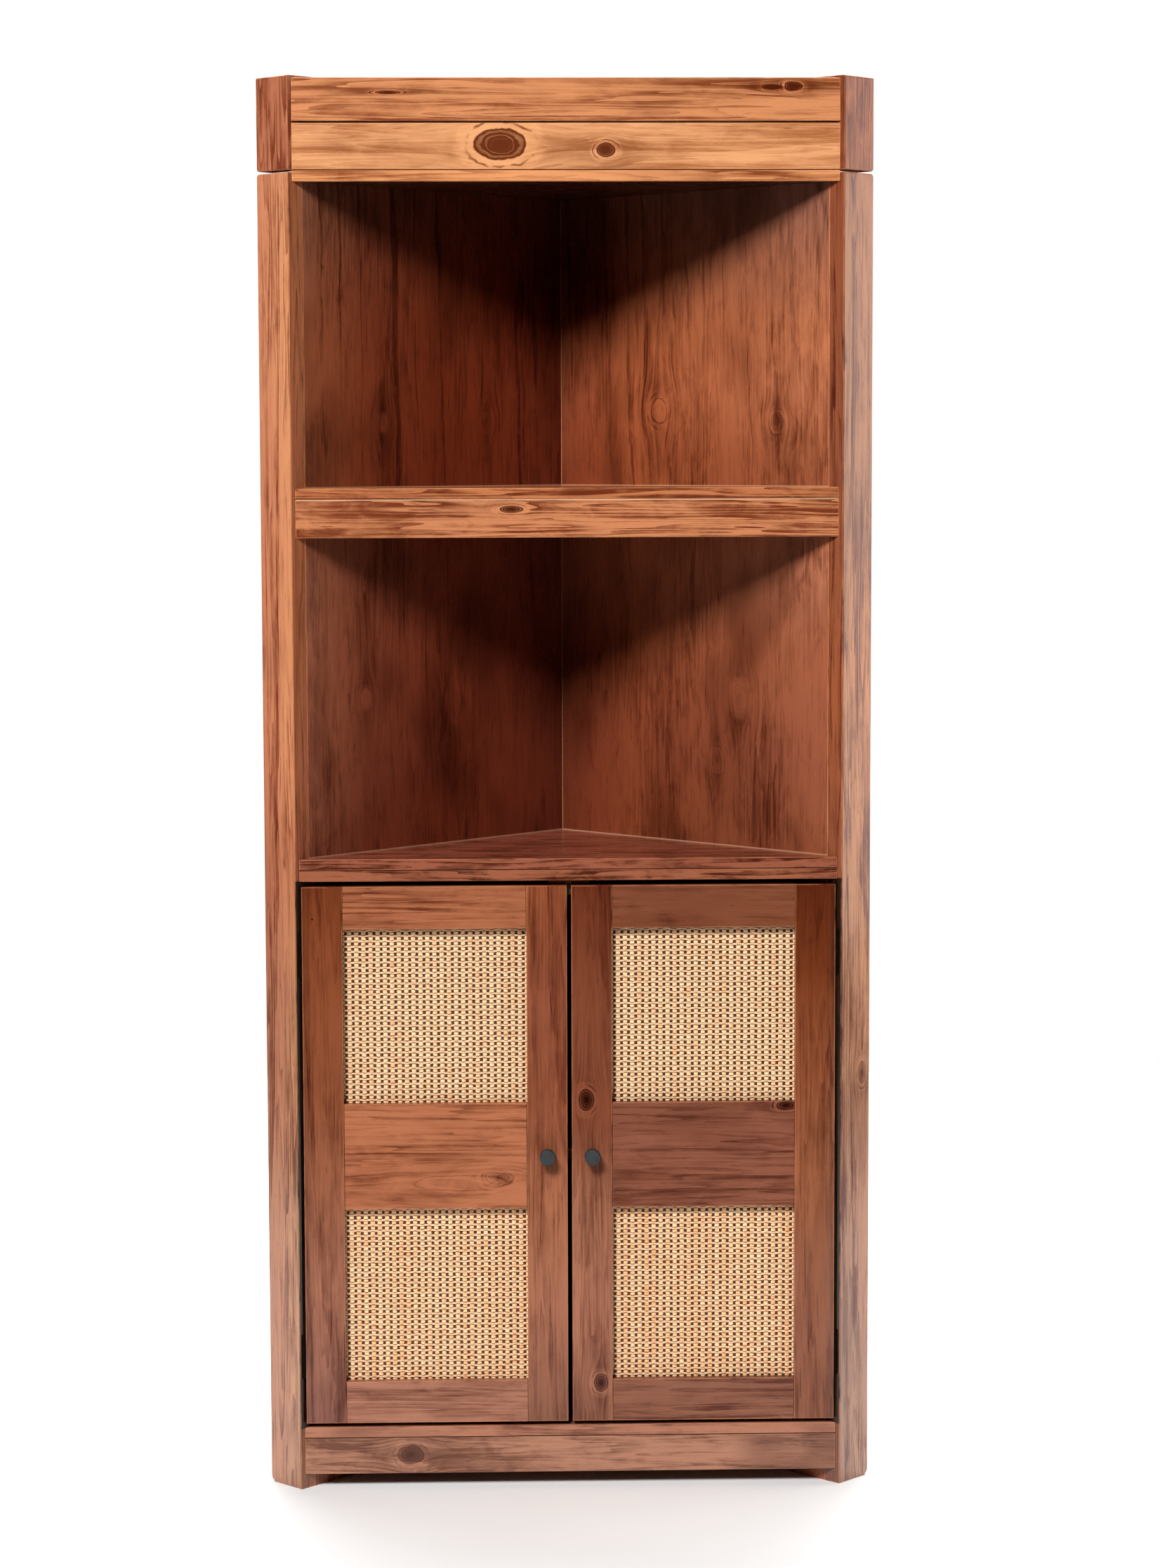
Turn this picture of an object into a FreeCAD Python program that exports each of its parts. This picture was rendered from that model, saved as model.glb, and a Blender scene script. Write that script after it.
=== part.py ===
"""Corner cupboard with open shelves above and a pair of cane-panelled doors below.

Lengths are in millimetres.  +Z is up, +X is to the right as one faces the doors and +Y points
into the corner of the room.  The origin is on the floor, midway across the outer box.
"""
import FreeCAD, Part
import os
import re

import Sketcher

# Driving dimensions, grouped by the piece that they belong to
SIZES = {
    # Whole cupboard
    "height": 1900.0,
    "front_half": 367.0,
    "front_setback": 4.5,
    "edge_ease": 1.0,
    "fine_ease": 0.4,
    "cut_overrun": 5.0,
    "edge_match": 0.01,
    # Posts and side panels
    "post_face": 62.0,
    "post_thickness": 25.0,
    "post_arris": 2.0,
    "post_foot_round": 9.0,
    "post_head_round": 4.5,
    "panel_thickness": 15.0,
    # Crown
    "crown_height": 123.0,
    "crown_upper_height": 57.0,
    "crown_top_drop": 3.0,
    "crown_groove": 1.5,
    "crown_board_thickness": 20.0,
    "shadow_gap": 3.0,
    # Horizontal boards
    "board_thickness": 15.0,
    "middle_shelf_height": 1359.0,
    "apron_height": 51.0,
    "apron_thickness": 20.0,
    "counter_height": 863.0,
    "counter_strip_height": 15.0,
    "counter_strip_thickness": 20.0,
    "bottom_height": 85.0,
    "plinth_height": 50.0,
    "plinth_thickness": 18.0,
    # Loose shelf behind the doors
    "inner_shelf_height": 455.0,
    "inner_shelf_setback": 75.0,
    "pin_radius": 2.5,
    "pin_reach": 9.0,
    "pin_depth": 10.0,
    "pin_head_radius": 4.0,
    "pin_fit": 0.05,
    "pin_front_inset": 60.0,
    "pin_back_inset": 110.0,
    # Door frames
    "door_thickness": 20.0,
    "door_setback": 3.0,
    "door_top_gap": 7.0,
    "door_bottom_gap": 6.0,
    "hinge_gap": 3.2,
    "meeting_gap": 6.0,
    "stile_width": 54.5,
    "end_rail_height": 57.5,
    "middle_rail_height": 144.0,
    "lip_thickness": 12.0,
    "rebate_width": 8.0,
    # Cane and the beads that hold it
    "cane_thickness": 2.5,
    "bead_thickness": 5.5,
    # Knobs
    "knob_radius": 10.5,
    "knob_head_length": 14.0,
    "knob_head_ease": 0.8,
    "knob_neck_radius": 6.5,
    "knob_neck_length": 7.0,
    "knob_bore_depth": 12.0,
    "knob_screw_radius": 2.0,
    "knob_screw_fit": 0.05,
    "knob_screw_end_room": 2.5,
    "knob_screw_head_radius": 4.5,
    "knob_screw_head_height": 2.6,
    # Hinges
    "hinge_length": 60.0,
    "hinge_inset": 62.0,
    "hinge_leaf_thickness": 1.0,
    "hinge_leaf_width": 19.0,
    "knuckle_radius": 1.45,
    "knuckle_clearance": 0.15,
    "knuckle_corner_clearance": 1.75,
    "knuckle_end_clearance": 0.25,
    "hinge_pin_radius": 0.75,
    "hinge_pin_fit": 0.05,
    "hinge_pin_head_radius": 1.1,
    "hinge_pin_head_height": 1.2,
    # Magnetic catch
    "catch_width": 56.0,
    "catch_depth": 15.0,
    "catch_height": 14.0,
    "catch_gap": 0.3,
    "catch_drop": 1.0,
    "magnet_width": 16.0,
    "magnet_height": 8.0,
    "magnet_depth": 6.0,
    "magnet_inset": 6.0,
    "strike_width": 18.0,
    "strike_height": 12.0,
    "strike_thickness": 1.2,
}

SIDES = {"left": -1, "right": 1}
PLAN_TURN = 45.0
KNUCKLES = 3

doc = FreeCAD.newDocument("CornerCupboard")
sheet = doc.addObject("Spreadsheet::Sheet", "Sizes")
for row, (alias, value) in enumerate(SIZES.items(), start=1):
    sheet.set(f"A{row}", alias)
    sheet.set(f"B{row}", str(value))
    sheet.setAlias(f"B{row}", alias)
doc.recompute()

nodes = []


def cells(expression):
    """Turn the size names in an expression into references to the sheet."""
    def refer(match):
        word = match.group(0)
        return f"Sizes.{word}" if word in SIZES else word
    return re.sub(r"[a-z_]+", refer, f"({expression})")


def number(expression):
    """Return an expression's present value in millimetres."""
    return float(sheet.evalExpression(cells(expression)))


# Places that follow from the driving dimensions
BACK_REACH = "front_half + sqrt(2) * panel_thickness"
KNOB_REACH = "knob_neck_length + knob_head_length - door_setback"
FRONT = f"-({BACK_REACH} - ({KNOB_REACH})) / 2"
INNER_CORNER = "sqrt(2) * front_half"
CROWN_FOOT = "height - crown_height"
COUNTER_FOOT = "counter_height - board_thickness - counter_strip_height"
BOTTOM_FOOT = "bottom_height - board_thickness"
DOOR_HEAD = f"{COUNTER_FOOT} - door_top_gap"
DOOR_FOOT = "bottom_height + door_bottom_gap"
DOOR_FRONT = f"{FRONT} + door_setback"
DOOR_LIP = f"{DOOR_FRONT} + lip_thickness"
DOOR_BACK = f"{DOOR_FRONT} + door_thickness"
DOOR_OUTER = "front_half - door_setback - sqrt(2) * hinge_gap"
DOOR_INNER = "meeting_gap / 2"
CANE_OUTER = f"{DOOR_OUTER} - stile_width"
CANE_INNER = f"{DOOR_INNER} + stile_width"
DOOR_MIDDLE = f"(({DOOR_HEAD}) + ({DOOR_FOOT})) / 2"
KNOB_ACROSS = f"{DOOR_INNER} + stile_width / 2"
AXIS_ALONG = "sqrt(2) * door_setback + hinge_gap - knuckle_corner_clearance"
AXIS_ACROSS = "-hinge_gap / 2"
PIN_LEVEL = "inner_shelf_height - board_thickness - pin_head_radius"
PIN_PLACES = (
    "sqrt(2) * inner_shelf_setback + pin_front_inset",
    f"{INNER_CORNER} - pin_back_inset",
)
MIDDLE_RAIL_FOOT = f"{DOOR_MIDDLE} - middle_rail_height / 2"
CANE_FIELDS = {
    "lower": (f"{DOOR_FOOT} + end_rail_height", MIDDLE_RAIL_FOOT),
    "upper": (f"{MIDDLE_RAIL_FOOT} + middle_rail_height", f"{DOOR_HEAD} - end_rail_height"),
}


def place(obj, across="0", along="0", up="0", turn=0.0):
    """Set an object's placement from expressions and a turn about the vertical."""
    upright = FreeCAD.Vector(0, 0, 1)
    obj.Placement = FreeCAD.Placement(FreeCAD.Vector(), FreeCAD.Rotation(upright, turn))
    for axis, expression in zip("xyz", (across, along, up)):
        obj.setExpression(f"Placement.Base.{axis}", cells(expression))


def new_body(label, keep=True):
    """Make an empty body that stands square to the room's front."""
    body = doc.addObject("PartDesign::Body", label)
    body.Label = label
    body.AllowCompound = True
    if keep:
        nodes.append(body)
    return body


def side_body(label, side, keep=True):
    """Make a body in the frame of one side: its corner is the post's front arris."""
    body = new_body(label, keep)
    place(body, f"{SIDES[side]} * front_half", FRONT, turn=PLAN_TURN)
    return body


def side_point(side, along, across):
    """Return a side's point, along the side panel and outwards from its inner face."""
    return (along, across) if side == "left" else (across, along)


def side_rectangle(side, along, across):
    """Return the corners of a rectangle given by its two limits each way."""
    corners = ((0, 0), (1, 0), (1, 1), (0, 1))
    return [side_point(side, along[i], across[j]) for i, j in corners]


def origin_plane(body, role):
    """Find one of a body's own base planes."""
    return next(plane for plane in body.Origin.OriginFeatures if plane.Role == role)


def new_sketch(body, name, role="XY_Plane", lift="0"):
    """Attach an empty sketch to a base plane, lifted along its normal."""
    sketch = body.newObject("Sketcher::SketchObject", name)
    sketch.AttachmentSupport = (origin_plane(body, role), [""])
    sketch.MapMode = "FlatFace"
    sketch.setExpression("AttachmentOffset.Base.z", cells(lift))
    return sketch


def pin_point(sketch, geometry, end, x, y):
    """Fix a sketch point at two expressions measured from the sketch's origin."""
    for kind, expression in (("DistanceX", x), ("DistanceY", y)):
        value = number(expression)
        index = sketch.addConstraint(Sketcher.Constraint(kind, -1, 1, geometry, end, value))
        sketch.setExpression(f"Constraints[{index}]", cells(expression))


def draw_outline(sketch, corners):
    """Draw a closed polygon whose corners are pairs of expressions."""
    points = [FreeCAD.Vector(number(x), number(y), 0) for x, y in corners]
    first = sketch.GeometryCount
    for start, end in zip(points, points[1:] + points[:1]):
        sketch.addGeometry(Part.LineSegment(start, end))
    for step, (x, y) in enumerate(corners):
        following = first + (step + 1) % len(corners)
        sketch.addConstraint(Sketcher.Constraint("Coincident", first + step, 2, following, 1))
        pin_point(sketch, first + step, 1, x, y)


def draw_circle(sketch, x, y, radius):
    """Draw a circle whose centre and radius are expressions."""
    centre = FreeCAD.Vector(number(x), number(y), 0)
    circle = Part.Circle(centre, FreeCAD.Vector(0, 0, 1), number(radius))
    index = sketch.addGeometry(circle)
    pin_point(sketch, index, 3, x, y)
    limit = sketch.addConstraint(Sketcher.Constraint("Radius", index, number(radius)))
    sketch.setExpression(f"Constraints[{limit}]", cells(radius))


def add_pad(body, sketch, length):
    """Raise a sketch into a solid."""
    pad = body.newObject("PartDesign::Pad", f"{sketch.Name}Pad")
    pad.Profile = sketch
    pad.setExpression("Length", cells(length))
    sketch.Visibility = False
    return pad


def add_pocket(body, sketch, depth, reverse=False):
    """Cut a sketch into the solid and make sure that something was cut."""
    doc.recompute()
    before = body.Shape.Volume
    pocket = body.newObject("PartDesign::Pocket", f"{sketch.Name}Pocket")
    pocket.Profile = sketch
    pocket.Reversed = reverse
    pocket.setExpression("Length", cells(depth))
    doc.recompute()
    if body.Shape.Volume >= before:
        raise RuntimeError(f"{body.Label}: the pocket {sketch.Name} cut nothing")
    return pocket


def round_edges(body, chooser, radius):
    """Round the edges of a body's own shape that a test on the edge picks out."""
    doc.recompute()
    base = body.Tip
    chosen = [f"Edge{i}" for i, edge in enumerate(base.Shape.Edges, start=1) if chooser(edge)]
    fillet = body.newObject("PartDesign::Fillet", f"{body.Name}Round")
    fillet.Base = (base, chosen)
    fillet.setExpression("Radius", cells(radius))
    body.Tip = fillet


def ease_edges(body, choosers, size):
    """Chamfer the edges of a body's own shape that any of some tests picks out."""
    doc.recompute()
    base = body.Tip
    chosen = [f"Edge{i}" for i, edge in enumerate(base.Shape.Edges, start=1)
              if any(chooser(edge) for chooser in choosers)]
    chamfer = body.newObject("PartDesign::Chamfer", f"{body.Name}Ease")
    chamfer.Base = (base, chosen)
    chamfer.setExpression("Size", cells(size))
    body.Tip = chamfer


def edge_at(**limits):
    """Return a test for straight or curved edges that lie wholly at given coordinates."""
    wanted = {axis: number(expression) for axis, expression in limits.items()}

    def chooser(edge):
        box = edge.BoundBox
        reach = {"x": (box.XMin, box.XMax), "y": (box.YMin, box.YMax), "z": (box.ZMin, box.ZMax)}
        tolerance = number("edge_match")
        return all(abs(limit - value) < tolerance for axis, value in wanted.items()
                   for limit in reach[axis])
    return chooser


def plan_board(label, corners, foot, rise, ease="edge_ease"):
    """Make a board from its outline in plan, between a foot height and a rise."""
    body = new_body(label)
    sketch = new_sketch(body, f"{label}_plan", lift=foot)
    draw_outline(sketch, corners)
    add_pad(body, sketch, rise)
    if ease:
        ease_edges(body, [lambda edge: True], ease)
    return body


def triangle(setback):
    """Return the plan of a shelf that fills the corner behind a front setback."""
    tip = f"front_half - {setback}"
    front = f"{FRONT} + {setback}"
    return [(f"-({tip})", front), (tip, front), ("0", f"{FRONT} + front_half")]


def front_strip(setback, thickness):
    """Return the plan of a board that spans the posts, mitred to their inner faces."""
    front_tip = f"front_half - {setback}"
    back_tip = f"front_half - {setback} - {thickness}"
    front = f"{FRONT} + {setback}"
    back = f"{FRONT} + {setback} + {thickness}"
    return [(f"-({front_tip})", front), (front_tip, front), (back_tip, back), (f"-({back_tip})", back)]


def make_post(side):
    """Make a post: a board that stands square to the wall, rounded at its foot and head."""
    outward = "y" if side == "left" else "x"
    inward = "x" if side == "left" else "y"
    pieces = (
        (f"{side}_post", "0", f"{CROWN_FOOT} - shadow_gap", "post_foot_round", "post_head_round"),
        (f"{side}_crown_return", CROWN_FOOT, "crown_height", "post_head_round", "post_arris"),
    )
    for label, foot, rise, foot_round, head_round in pieces:
        body = side_body(label, side)
        sketch = new_sketch(body, f"{label}_plan", lift=foot)
        section = side_rectangle(side, ("0", "post_thickness"), ("0", "post_face"))
        draw_outline(sketch, section)
        add_pad(body, sketch, rise)
        round_edges(body, edge_at(**{outward: "post_face", "z": foot}), foot_round)
        round_edges(body, edge_at(**{outward: "post_face", "z": f"{foot} + {rise}"}), head_round)
        round_edges(body, edge_at(**{inward: "0"}), "post_arris")


def make_side_panel(side):
    """Make a side panel, drilled for the loose shelf; the left one laps the right at the back."""
    body = side_body(f"{side}_side_panel", side)
    sketch = new_sketch(body, f"{side}_panel_plan")
    end = f"{INNER_CORNER} + panel_thickness" if side == "left" else INNER_CORNER
    draw_outline(sketch, side_rectangle(side, ("post_thickness", end), ("0", "panel_thickness")))
    add_pad(body, sketch, "height")
    along, across = ("x", "y") if side == "left" else ("y", "x")
    ease_edges(body, [edge_at(**{along: "post_thickness", across: "0"})], "edge_ease")
    role = "XZ_Plane" if side == "left" else "YZ_Plane"
    holes = new_sketch(body, f"{side}_pin_holes", role)
    for along in PIN_PLACES:
        draw_circle(holes, along, PIN_LEVEL, "pin_radius + pin_fit")
    add_pocket(body, holes, "pin_depth", reverse=side == "right")


def make_shelf_pins():
    """Make the pins under the loose shelf, each a peg with a thicker head that the shelf lies on."""
    pins = []
    for side in SIDES:
        role = "XZ_Plane" if side == "left" else "YZ_Plane"
        start = "-pin_depth" if side == "left" else "pin_depth"
        for count, along in enumerate(PIN_PLACES):
            body = side_body(f"{side}_pin_{count}", side, keep=False)
            peg = new_sketch(body, f"{side}_peg_{count}", role, start)
            head = new_sketch(body, f"{side}_pin_head_{count}", role)
            draw_circle(peg, along, PIN_LEVEL, "pin_radius")
            draw_circle(head, along, PIN_LEVEL, "pin_head_radius")
            for sketch, length in ((peg, "pin_depth"), (head, "pin_reach")):
                pad = add_pad(body, sketch, length)
                pad.Reversed = side == "right"
            pins.append(body)
    group("shelf_pins", pins)


def group(label, pieces):
    """Gather identical pieces into one node."""
    compound = doc.addObject("Part::Compound", label)
    compound.Label = label
    compound.Links = pieces
    nodes.append(compound)


def make_carcass():
    """Make everything that stands still."""
    for side in SIDES:
        make_post(side)
        make_side_panel(side)
    crown = front_strip("front_setback", "crown_board_thickness")
    crown_joint = "height - crown_top_drop - crown_upper_height"
    plan_board("crown_upper_board", crown, crown_joint, "crown_upper_height")
    plan_board("crown_lower_board", crown, CROWN_FOOT, f"{crown_joint} - ({CROWN_FOOT}) - crown_groove")
    shelf = triangle("front_setback")
    boards = (
        ("roof_board", CROWN_FOOT),
        ("middle_shelf_board", "middle_shelf_height"),
        ("counter_board", "counter_height"),
        ("bottom_board", "bottom_height"),
    )
    for label, top in boards:
        plan_board(label, shelf, f"{top} - board_thickness", "board_thickness")
    inner = triangle("inner_shelf_setback")
    plan_board("inner_shelf", inner, "inner_shelf_height - board_thickness", "board_thickness")
    strips = (
        ("middle_shelf_apron", "apron_thickness", "middle_shelf_height - board_thickness", "apron_height"),
        ("counter_edge_strip", "counter_strip_thickness", "counter_height - board_thickness",
         "counter_strip_height"),
        ("plinth_rail", "plinth_thickness", BOTTOM_FOOT, "plinth_height"),
    )
    for label, thickness, top, drop in strips:
        plan_board(label, front_strip("front_setback", thickness), f"{top} - {drop}", drop)
    make_shelf_pins()


def door_corners(sign, corners):
    """Turn pairs of reach from the middle and depth into one door's plan."""
    return [(f"{sign} * ({reach})", depth) for reach, depth in corners]


def make_door_frame(side):
    """Make a door's stiles and rails, rebated at the back and lapped at their joints."""
    sign = SIDES[side]
    height = f"{DOOR_HEAD} - ({DOOR_FOOT})"
    bevel = f"{DOOR_OUTER} - door_thickness"
    hinge_stile = [
        (DOOR_OUTER, DOOR_FRONT), (CANE_OUTER, DOOR_FRONT), (CANE_OUTER, DOOR_LIP),
        (f"{CANE_OUTER} + rebate_width", DOOR_LIP), (f"{CANE_OUTER} + rebate_width", DOOR_BACK),
        (bevel, DOOR_BACK),
    ]
    meeting_stile = [
        (DOOR_INNER, DOOR_FRONT), (CANE_INNER, DOOR_FRONT), (CANE_INNER, DOOR_LIP),
        (f"{CANE_INNER} - rebate_width", DOOR_LIP), (f"{CANE_INNER} - rebate_width", DOOR_BACK),
        (DOOR_INNER, DOOR_BACK),
    ]
    stiles = {"hinge": hinge_stile, "meeting": meeting_stile}
    for name, corners in stiles.items():
        stile = plan_board(f"{side}_{name}_stile", door_corners(sign, corners), DOOR_FOOT, height, "")
        ease_edges(stile, [edge_at(y=DOOR_FRONT), edge_at(y=DOOR_BACK)], "fine_ease")
    hole = new_sketch(stile, f"{side}_knob_hole", "XZ_Plane", f"-({DOOR_BACK} + cut_overrun)")
    draw_circle(hole, f"{sign} * ({KNOB_ACROSS})", DOOR_MIDDLE, "knob_screw_radius + knob_screw_fit")
    add_pocket(stile, hole, "door_thickness + 2 * cut_overrun", reverse=True)
    rails = (
        ("top", f"{DOOR_HEAD} - end_rail_height", "end_rail_height", "rebate_width", "0"),
        ("middle", MIDDLE_RAIL_FOOT, "middle_rail_height", "rebate_width", "rebate_width"),
        ("bottom", DOOR_FOOT, "end_rail_height", "0", "rebate_width"),
    )
    for name, foot, rise, foot_rebate, head_rebate in rails:
        make_rail(f"{side}_{name}_rail", sign, foot, rise, foot_rebate, head_rebate)


def make_rail(label, sign, foot, rise, foot_rebate, head_rebate):
    """Make a rail: a face between the stiles and a longer back that laps into their rebates."""
    body = new_body(label)
    face = [(CANE_OUTER, DOOR_FRONT), (CANE_INNER, DOOR_FRONT), (CANE_INNER, DOOR_LIP),
            (CANE_OUTER, DOOR_LIP)]
    sketch = new_sketch(body, f"{label}_face", lift=foot)
    draw_outline(sketch, door_corners(sign, face))
    add_pad(body, sketch, rise)
    lap_outer = f"{CANE_OUTER} + rebate_width"
    lap_inner = f"{CANE_INNER} - rebate_width"
    lap = [(lap_outer, DOOR_LIP), (lap_inner, DOOR_LIP), (lap_inner, DOOR_BACK), (lap_outer, DOOR_BACK)]
    back = new_sketch(body, f"{label}_lap", lift=f"{foot} + {foot_rebate}")
    draw_outline(back, door_corners(sign, lap))
    add_pad(body, back, f"{rise} - {foot_rebate} - {head_rebate}")
    ease_edges(body, [edge_at(y=DOOR_FRONT)], "fine_ease")


def make_cane(side):
    """Make a door's two cane panels and the beads that hold them in the rebates."""
    sign = SIDES[side]
    cane_back = f"{DOOR_LIP} + cane_thickness"
    bead_back = f"{cane_back} + bead_thickness"
    outer = f"{CANE_OUTER} + rebate_width"
    inner = f"{CANE_INNER} - rebate_width"
    beads = []
    for field, (foot, head) in CANE_FIELDS.items():
        low = f"{foot} - rebate_width"
        high = f"{head} + rebate_width"
        sheet_plan = [(outer, DOOR_LIP), (inner, DOOR_LIP), (inner, cane_back), (outer, cane_back)]
        plan_board(f"{side}_{field}_cane", door_corners(sign, sheet_plan), low, f"{high} - ({low})", "")
        uprights = ((outer, CANE_OUTER), (inner, CANE_INNER))
        for count, (far, near) in enumerate(uprights):
            plan = [(far, cane_back), (near, cane_back), (near, bead_back), (far, bead_back)]
            beads.append(bead(f"{side}_{field}_upright_{count}", sign, plan, low, f"{high} - ({low})"))
        for count, level in enumerate((low, head)):
            plan = [(CANE_OUTER, cane_back), (CANE_INNER, cane_back), (CANE_INNER, bead_back),
                    (CANE_OUTER, bead_back)]
            beads.append(bead(f"{side}_{field}_cross_{count}", sign, plan, level, "rebate_width"))
    group(f"{side}_cane_beads", beads)


def bead(label, sign, plan, foot, rise):
    """Make one bead, not yet a node of its own."""
    body = new_body(label, keep=False)
    sketch = new_sketch(body, f"{label}_plan", lift=foot)
    draw_outline(sketch, door_corners(sign, plan))
    add_pad(body, sketch, rise)
    return body


def make_knob(side):
    """Make a round knob on a thinner neck, and the screw that holds it through the stile."""
    across = f"{SIDES[side]} * ({KNOB_ACROSS})"
    knob = new_body(f"{side}_knob")
    place(knob, across, DOOR_FRONT, DOOR_MIDDLE)
    neck = new_sketch(knob, f"{side}_knob_neck", "XZ_Plane")
    draw_circle(neck, "0", "0", "knob_neck_radius")
    add_pad(knob, neck, "knob_neck_length")
    head = new_sketch(knob, f"{side}_knob_head", "XZ_Plane", "knob_neck_length")
    draw_circle(head, "0", "0", "knob_radius")
    add_pad(knob, head, "knob_head_length")
    ease_edges(knob, [edge_at(y="-(knob_neck_length + knob_head_length)")], "knob_head_ease")
    bore = new_sketch(knob, f"{side}_knob_bore", "XZ_Plane")
    draw_circle(bore, "0", "0", "knob_screw_radius + knob_screw_fit")
    add_pocket(knob, bore, "knob_bore_depth", reverse=True)
    screw = new_body(f"{side}_knob_screw")
    place(screw, across, DOOR_FRONT, DOOR_MIDDLE)
    cap = new_sketch(screw, f"{side}_screw_head", "XZ_Plane", "-(door_thickness + knob_screw_head_height)")
    draw_circle(cap, "0", "0", "knob_screw_head_radius")
    add_pad(screw, cap, "knob_screw_head_height")
    shank = new_sketch(screw, f"{side}_screw_shank", "XZ_Plane", "-door_thickness")
    draw_circle(shank, "0", "0", "knob_screw_radius")
    add_pad(screw, shank, "door_thickness + knob_bore_depth - knob_screw_end_room")


def make_hinges(side):
    """Make a side's two butt hinges: post leaves, door leaves and pins."""
    levels = {
        "lower": f"{DOOR_FOOT} + hinge_inset",
        "upper": f"{DOOR_HEAD} - hinge_inset - hinge_length",
    }
    post_side = ("-hinge_leaf_thickness", "0")
    door_side = ("-hinge_gap", "hinge_leaf_thickness - hinge_gap")
    post_turns = range(0, KNUCKLES, 2)
    door_turns = range(1, KNUCKLES, 2)
    post_leaves = []
    door_leaves = []
    pins = []
    for name, foot in levels.items():
        post_leaves.append(make_leaf(f"{side}_{name}_post_leaf", side, foot, post_side, post_turns))
        door_leaves.append(make_leaf(f"{side}_{name}_door_leaf", side, foot, door_side, door_turns))
        pins.append(make_pin(f"{side}_{name}_pin", side, foot))
    group(f"{side}_hinge_post_leaves", post_leaves)
    group(f"{side}_hinge_door_leaves", door_leaves)
    group(f"{side}_hinge_pins", pins)


def make_leaf(label, side, foot, across, turns):
    """Make a hinge leaf: a plate clear of the barrel, and its own knuckles on tabs."""
    body = side_body(label, side, keep=False)
    plate_start = f"{AXIS_ALONG} + knuckle_radius + knuckle_clearance"
    plate = new_sketch(body, f"{label}_plate", lift=foot)
    reach = (plate_start, f"{AXIS_ALONG} + hinge_leaf_width")
    draw_outline(plate, side_rectangle(side, reach, across))
    add_pad(body, plate, "hinge_length")
    pitch = f"hinge_length / {KNUCKLES}"
    axis = side_point(side, AXIS_ALONG, AXIS_ACROSS)
    for turn in turns:
        low = f"{foot} + {turn} * {pitch} + knuckle_end_clearance"
        rise = f"{pitch} - 2 * knuckle_end_clearance"
        tab = new_sketch(body, f"{label}_tab_{turn}", lift=low)
        draw_outline(tab, side_rectangle(side, (AXIS_ALONG, plate_start), across))
        add_pad(body, tab, rise)
        knuckle = new_sketch(body, f"{label}_knuckle_{turn}", lift=low)
        draw_circle(knuckle, *axis, "knuckle_radius")
        add_pad(body, knuckle, rise)
    bore = new_sketch(body, f"{label}_bore", lift=f"{foot} - cut_overrun")
    draw_circle(bore, *axis, "hinge_pin_radius + hinge_pin_fit")
    add_pocket(body, bore, "hinge_length + 2 * cut_overrun", reverse=True)
    return body


def make_pin(label, side, foot):
    """Make a hinge pin with a small head that rests on the top knuckle."""
    body = side_body(label, side, keep=False)
    axis = side_point(side, AXIS_ALONG, AXIS_ACROSS)
    shaft = new_sketch(body, f"{label}_shaft", lift=foot)
    draw_circle(shaft, *axis, "hinge_pin_radius")
    add_pad(body, shaft, "hinge_length")
    head = new_sketch(body, f"{label}_head", lift=f"{foot} + hinge_length - knuckle_end_clearance")
    draw_circle(head, *axis, "hinge_pin_head_radius")
    add_pad(body, head, "hinge_pin_head_height")
    return body


def block(label, across, along, foot, rise, ease=""):
    """Make a plain block from its limits across and along, with an eased outline if asked."""
    corners = [(across[i], along[j]) for i, j in ((0, 0), (1, 0), (1, 1), (0, 1))]
    return plan_board(label, corners, foot, rise, ease)


def make_catch():
    """Make the double magnetic catch under the counter and a strike plate on each door."""
    face = f"{DOOR_BACK} + strike_thickness + catch_gap"
    back = f"{face} + catch_depth"
    across = ("-catch_width / 2", "catch_width / 2")
    catch_head = f"{DOOR_HEAD} - catch_drop"
    catch_foot = f"{catch_head} - catch_height"
    counter_under = "counter_height - board_thickness"
    block("catch_block", across, (face, back), catch_head, f"{counter_under} - ({catch_head})", "fine_ease")
    housing = block("door_catch", across, (face, back), catch_foot, "catch_height")
    magnet_foot = f"{catch_foot} + (catch_height - magnet_height) / 2"
    reaches = ("magnet_inset", "(magnet_inset + magnet_width)")
    magnet_reach = {side: [f"{sign} * {reach}" for reach in reaches] for side, sign in SIDES.items()}
    recess = new_sketch(housing, "magnet_recess", lift=magnet_foot)
    magnet_depth = (face, f"{face} + magnet_depth")
    for near, far in magnet_reach.values():
        draw_outline(recess, [(near, magnet_depth[0]), (far, magnet_depth[0]), (far, magnet_depth[1]),
                              (near, magnet_depth[1])])
    add_pocket(housing, recess, "magnet_height", reverse=True)
    magnets = []
    for side, (near, far) in magnet_reach.items():
        magnet = new_body(f"{side}_magnet", keep=False)
        sketch = new_sketch(magnet, f"{side}_magnet_plan", lift=magnet_foot)
        draw_outline(sketch, [(near, magnet_depth[0]), (far, magnet_depth[0]), (far, magnet_depth[1]),
                              (near, magnet_depth[1])])
        add_pad(magnet, sketch, "magnet_height")
        magnets.append(magnet)
        strike_middle = "(magnet_inset + magnet_width / 2)"
        sign = SIDES[side]
        strike = (f"{sign} * ({strike_middle} - strike_width / 2)",
                  f"{sign} * ({strike_middle} + strike_width / 2)")
        strike_foot = f"{catch_foot} + (catch_height - strike_height) / 2"
        block(f"{side}_strike_plate", strike, (DOOR_BACK, f"{DOOR_BACK} + strike_thickness"), strike_foot,
              "strike_height")
    group("catch_magnets", magnets)


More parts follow.
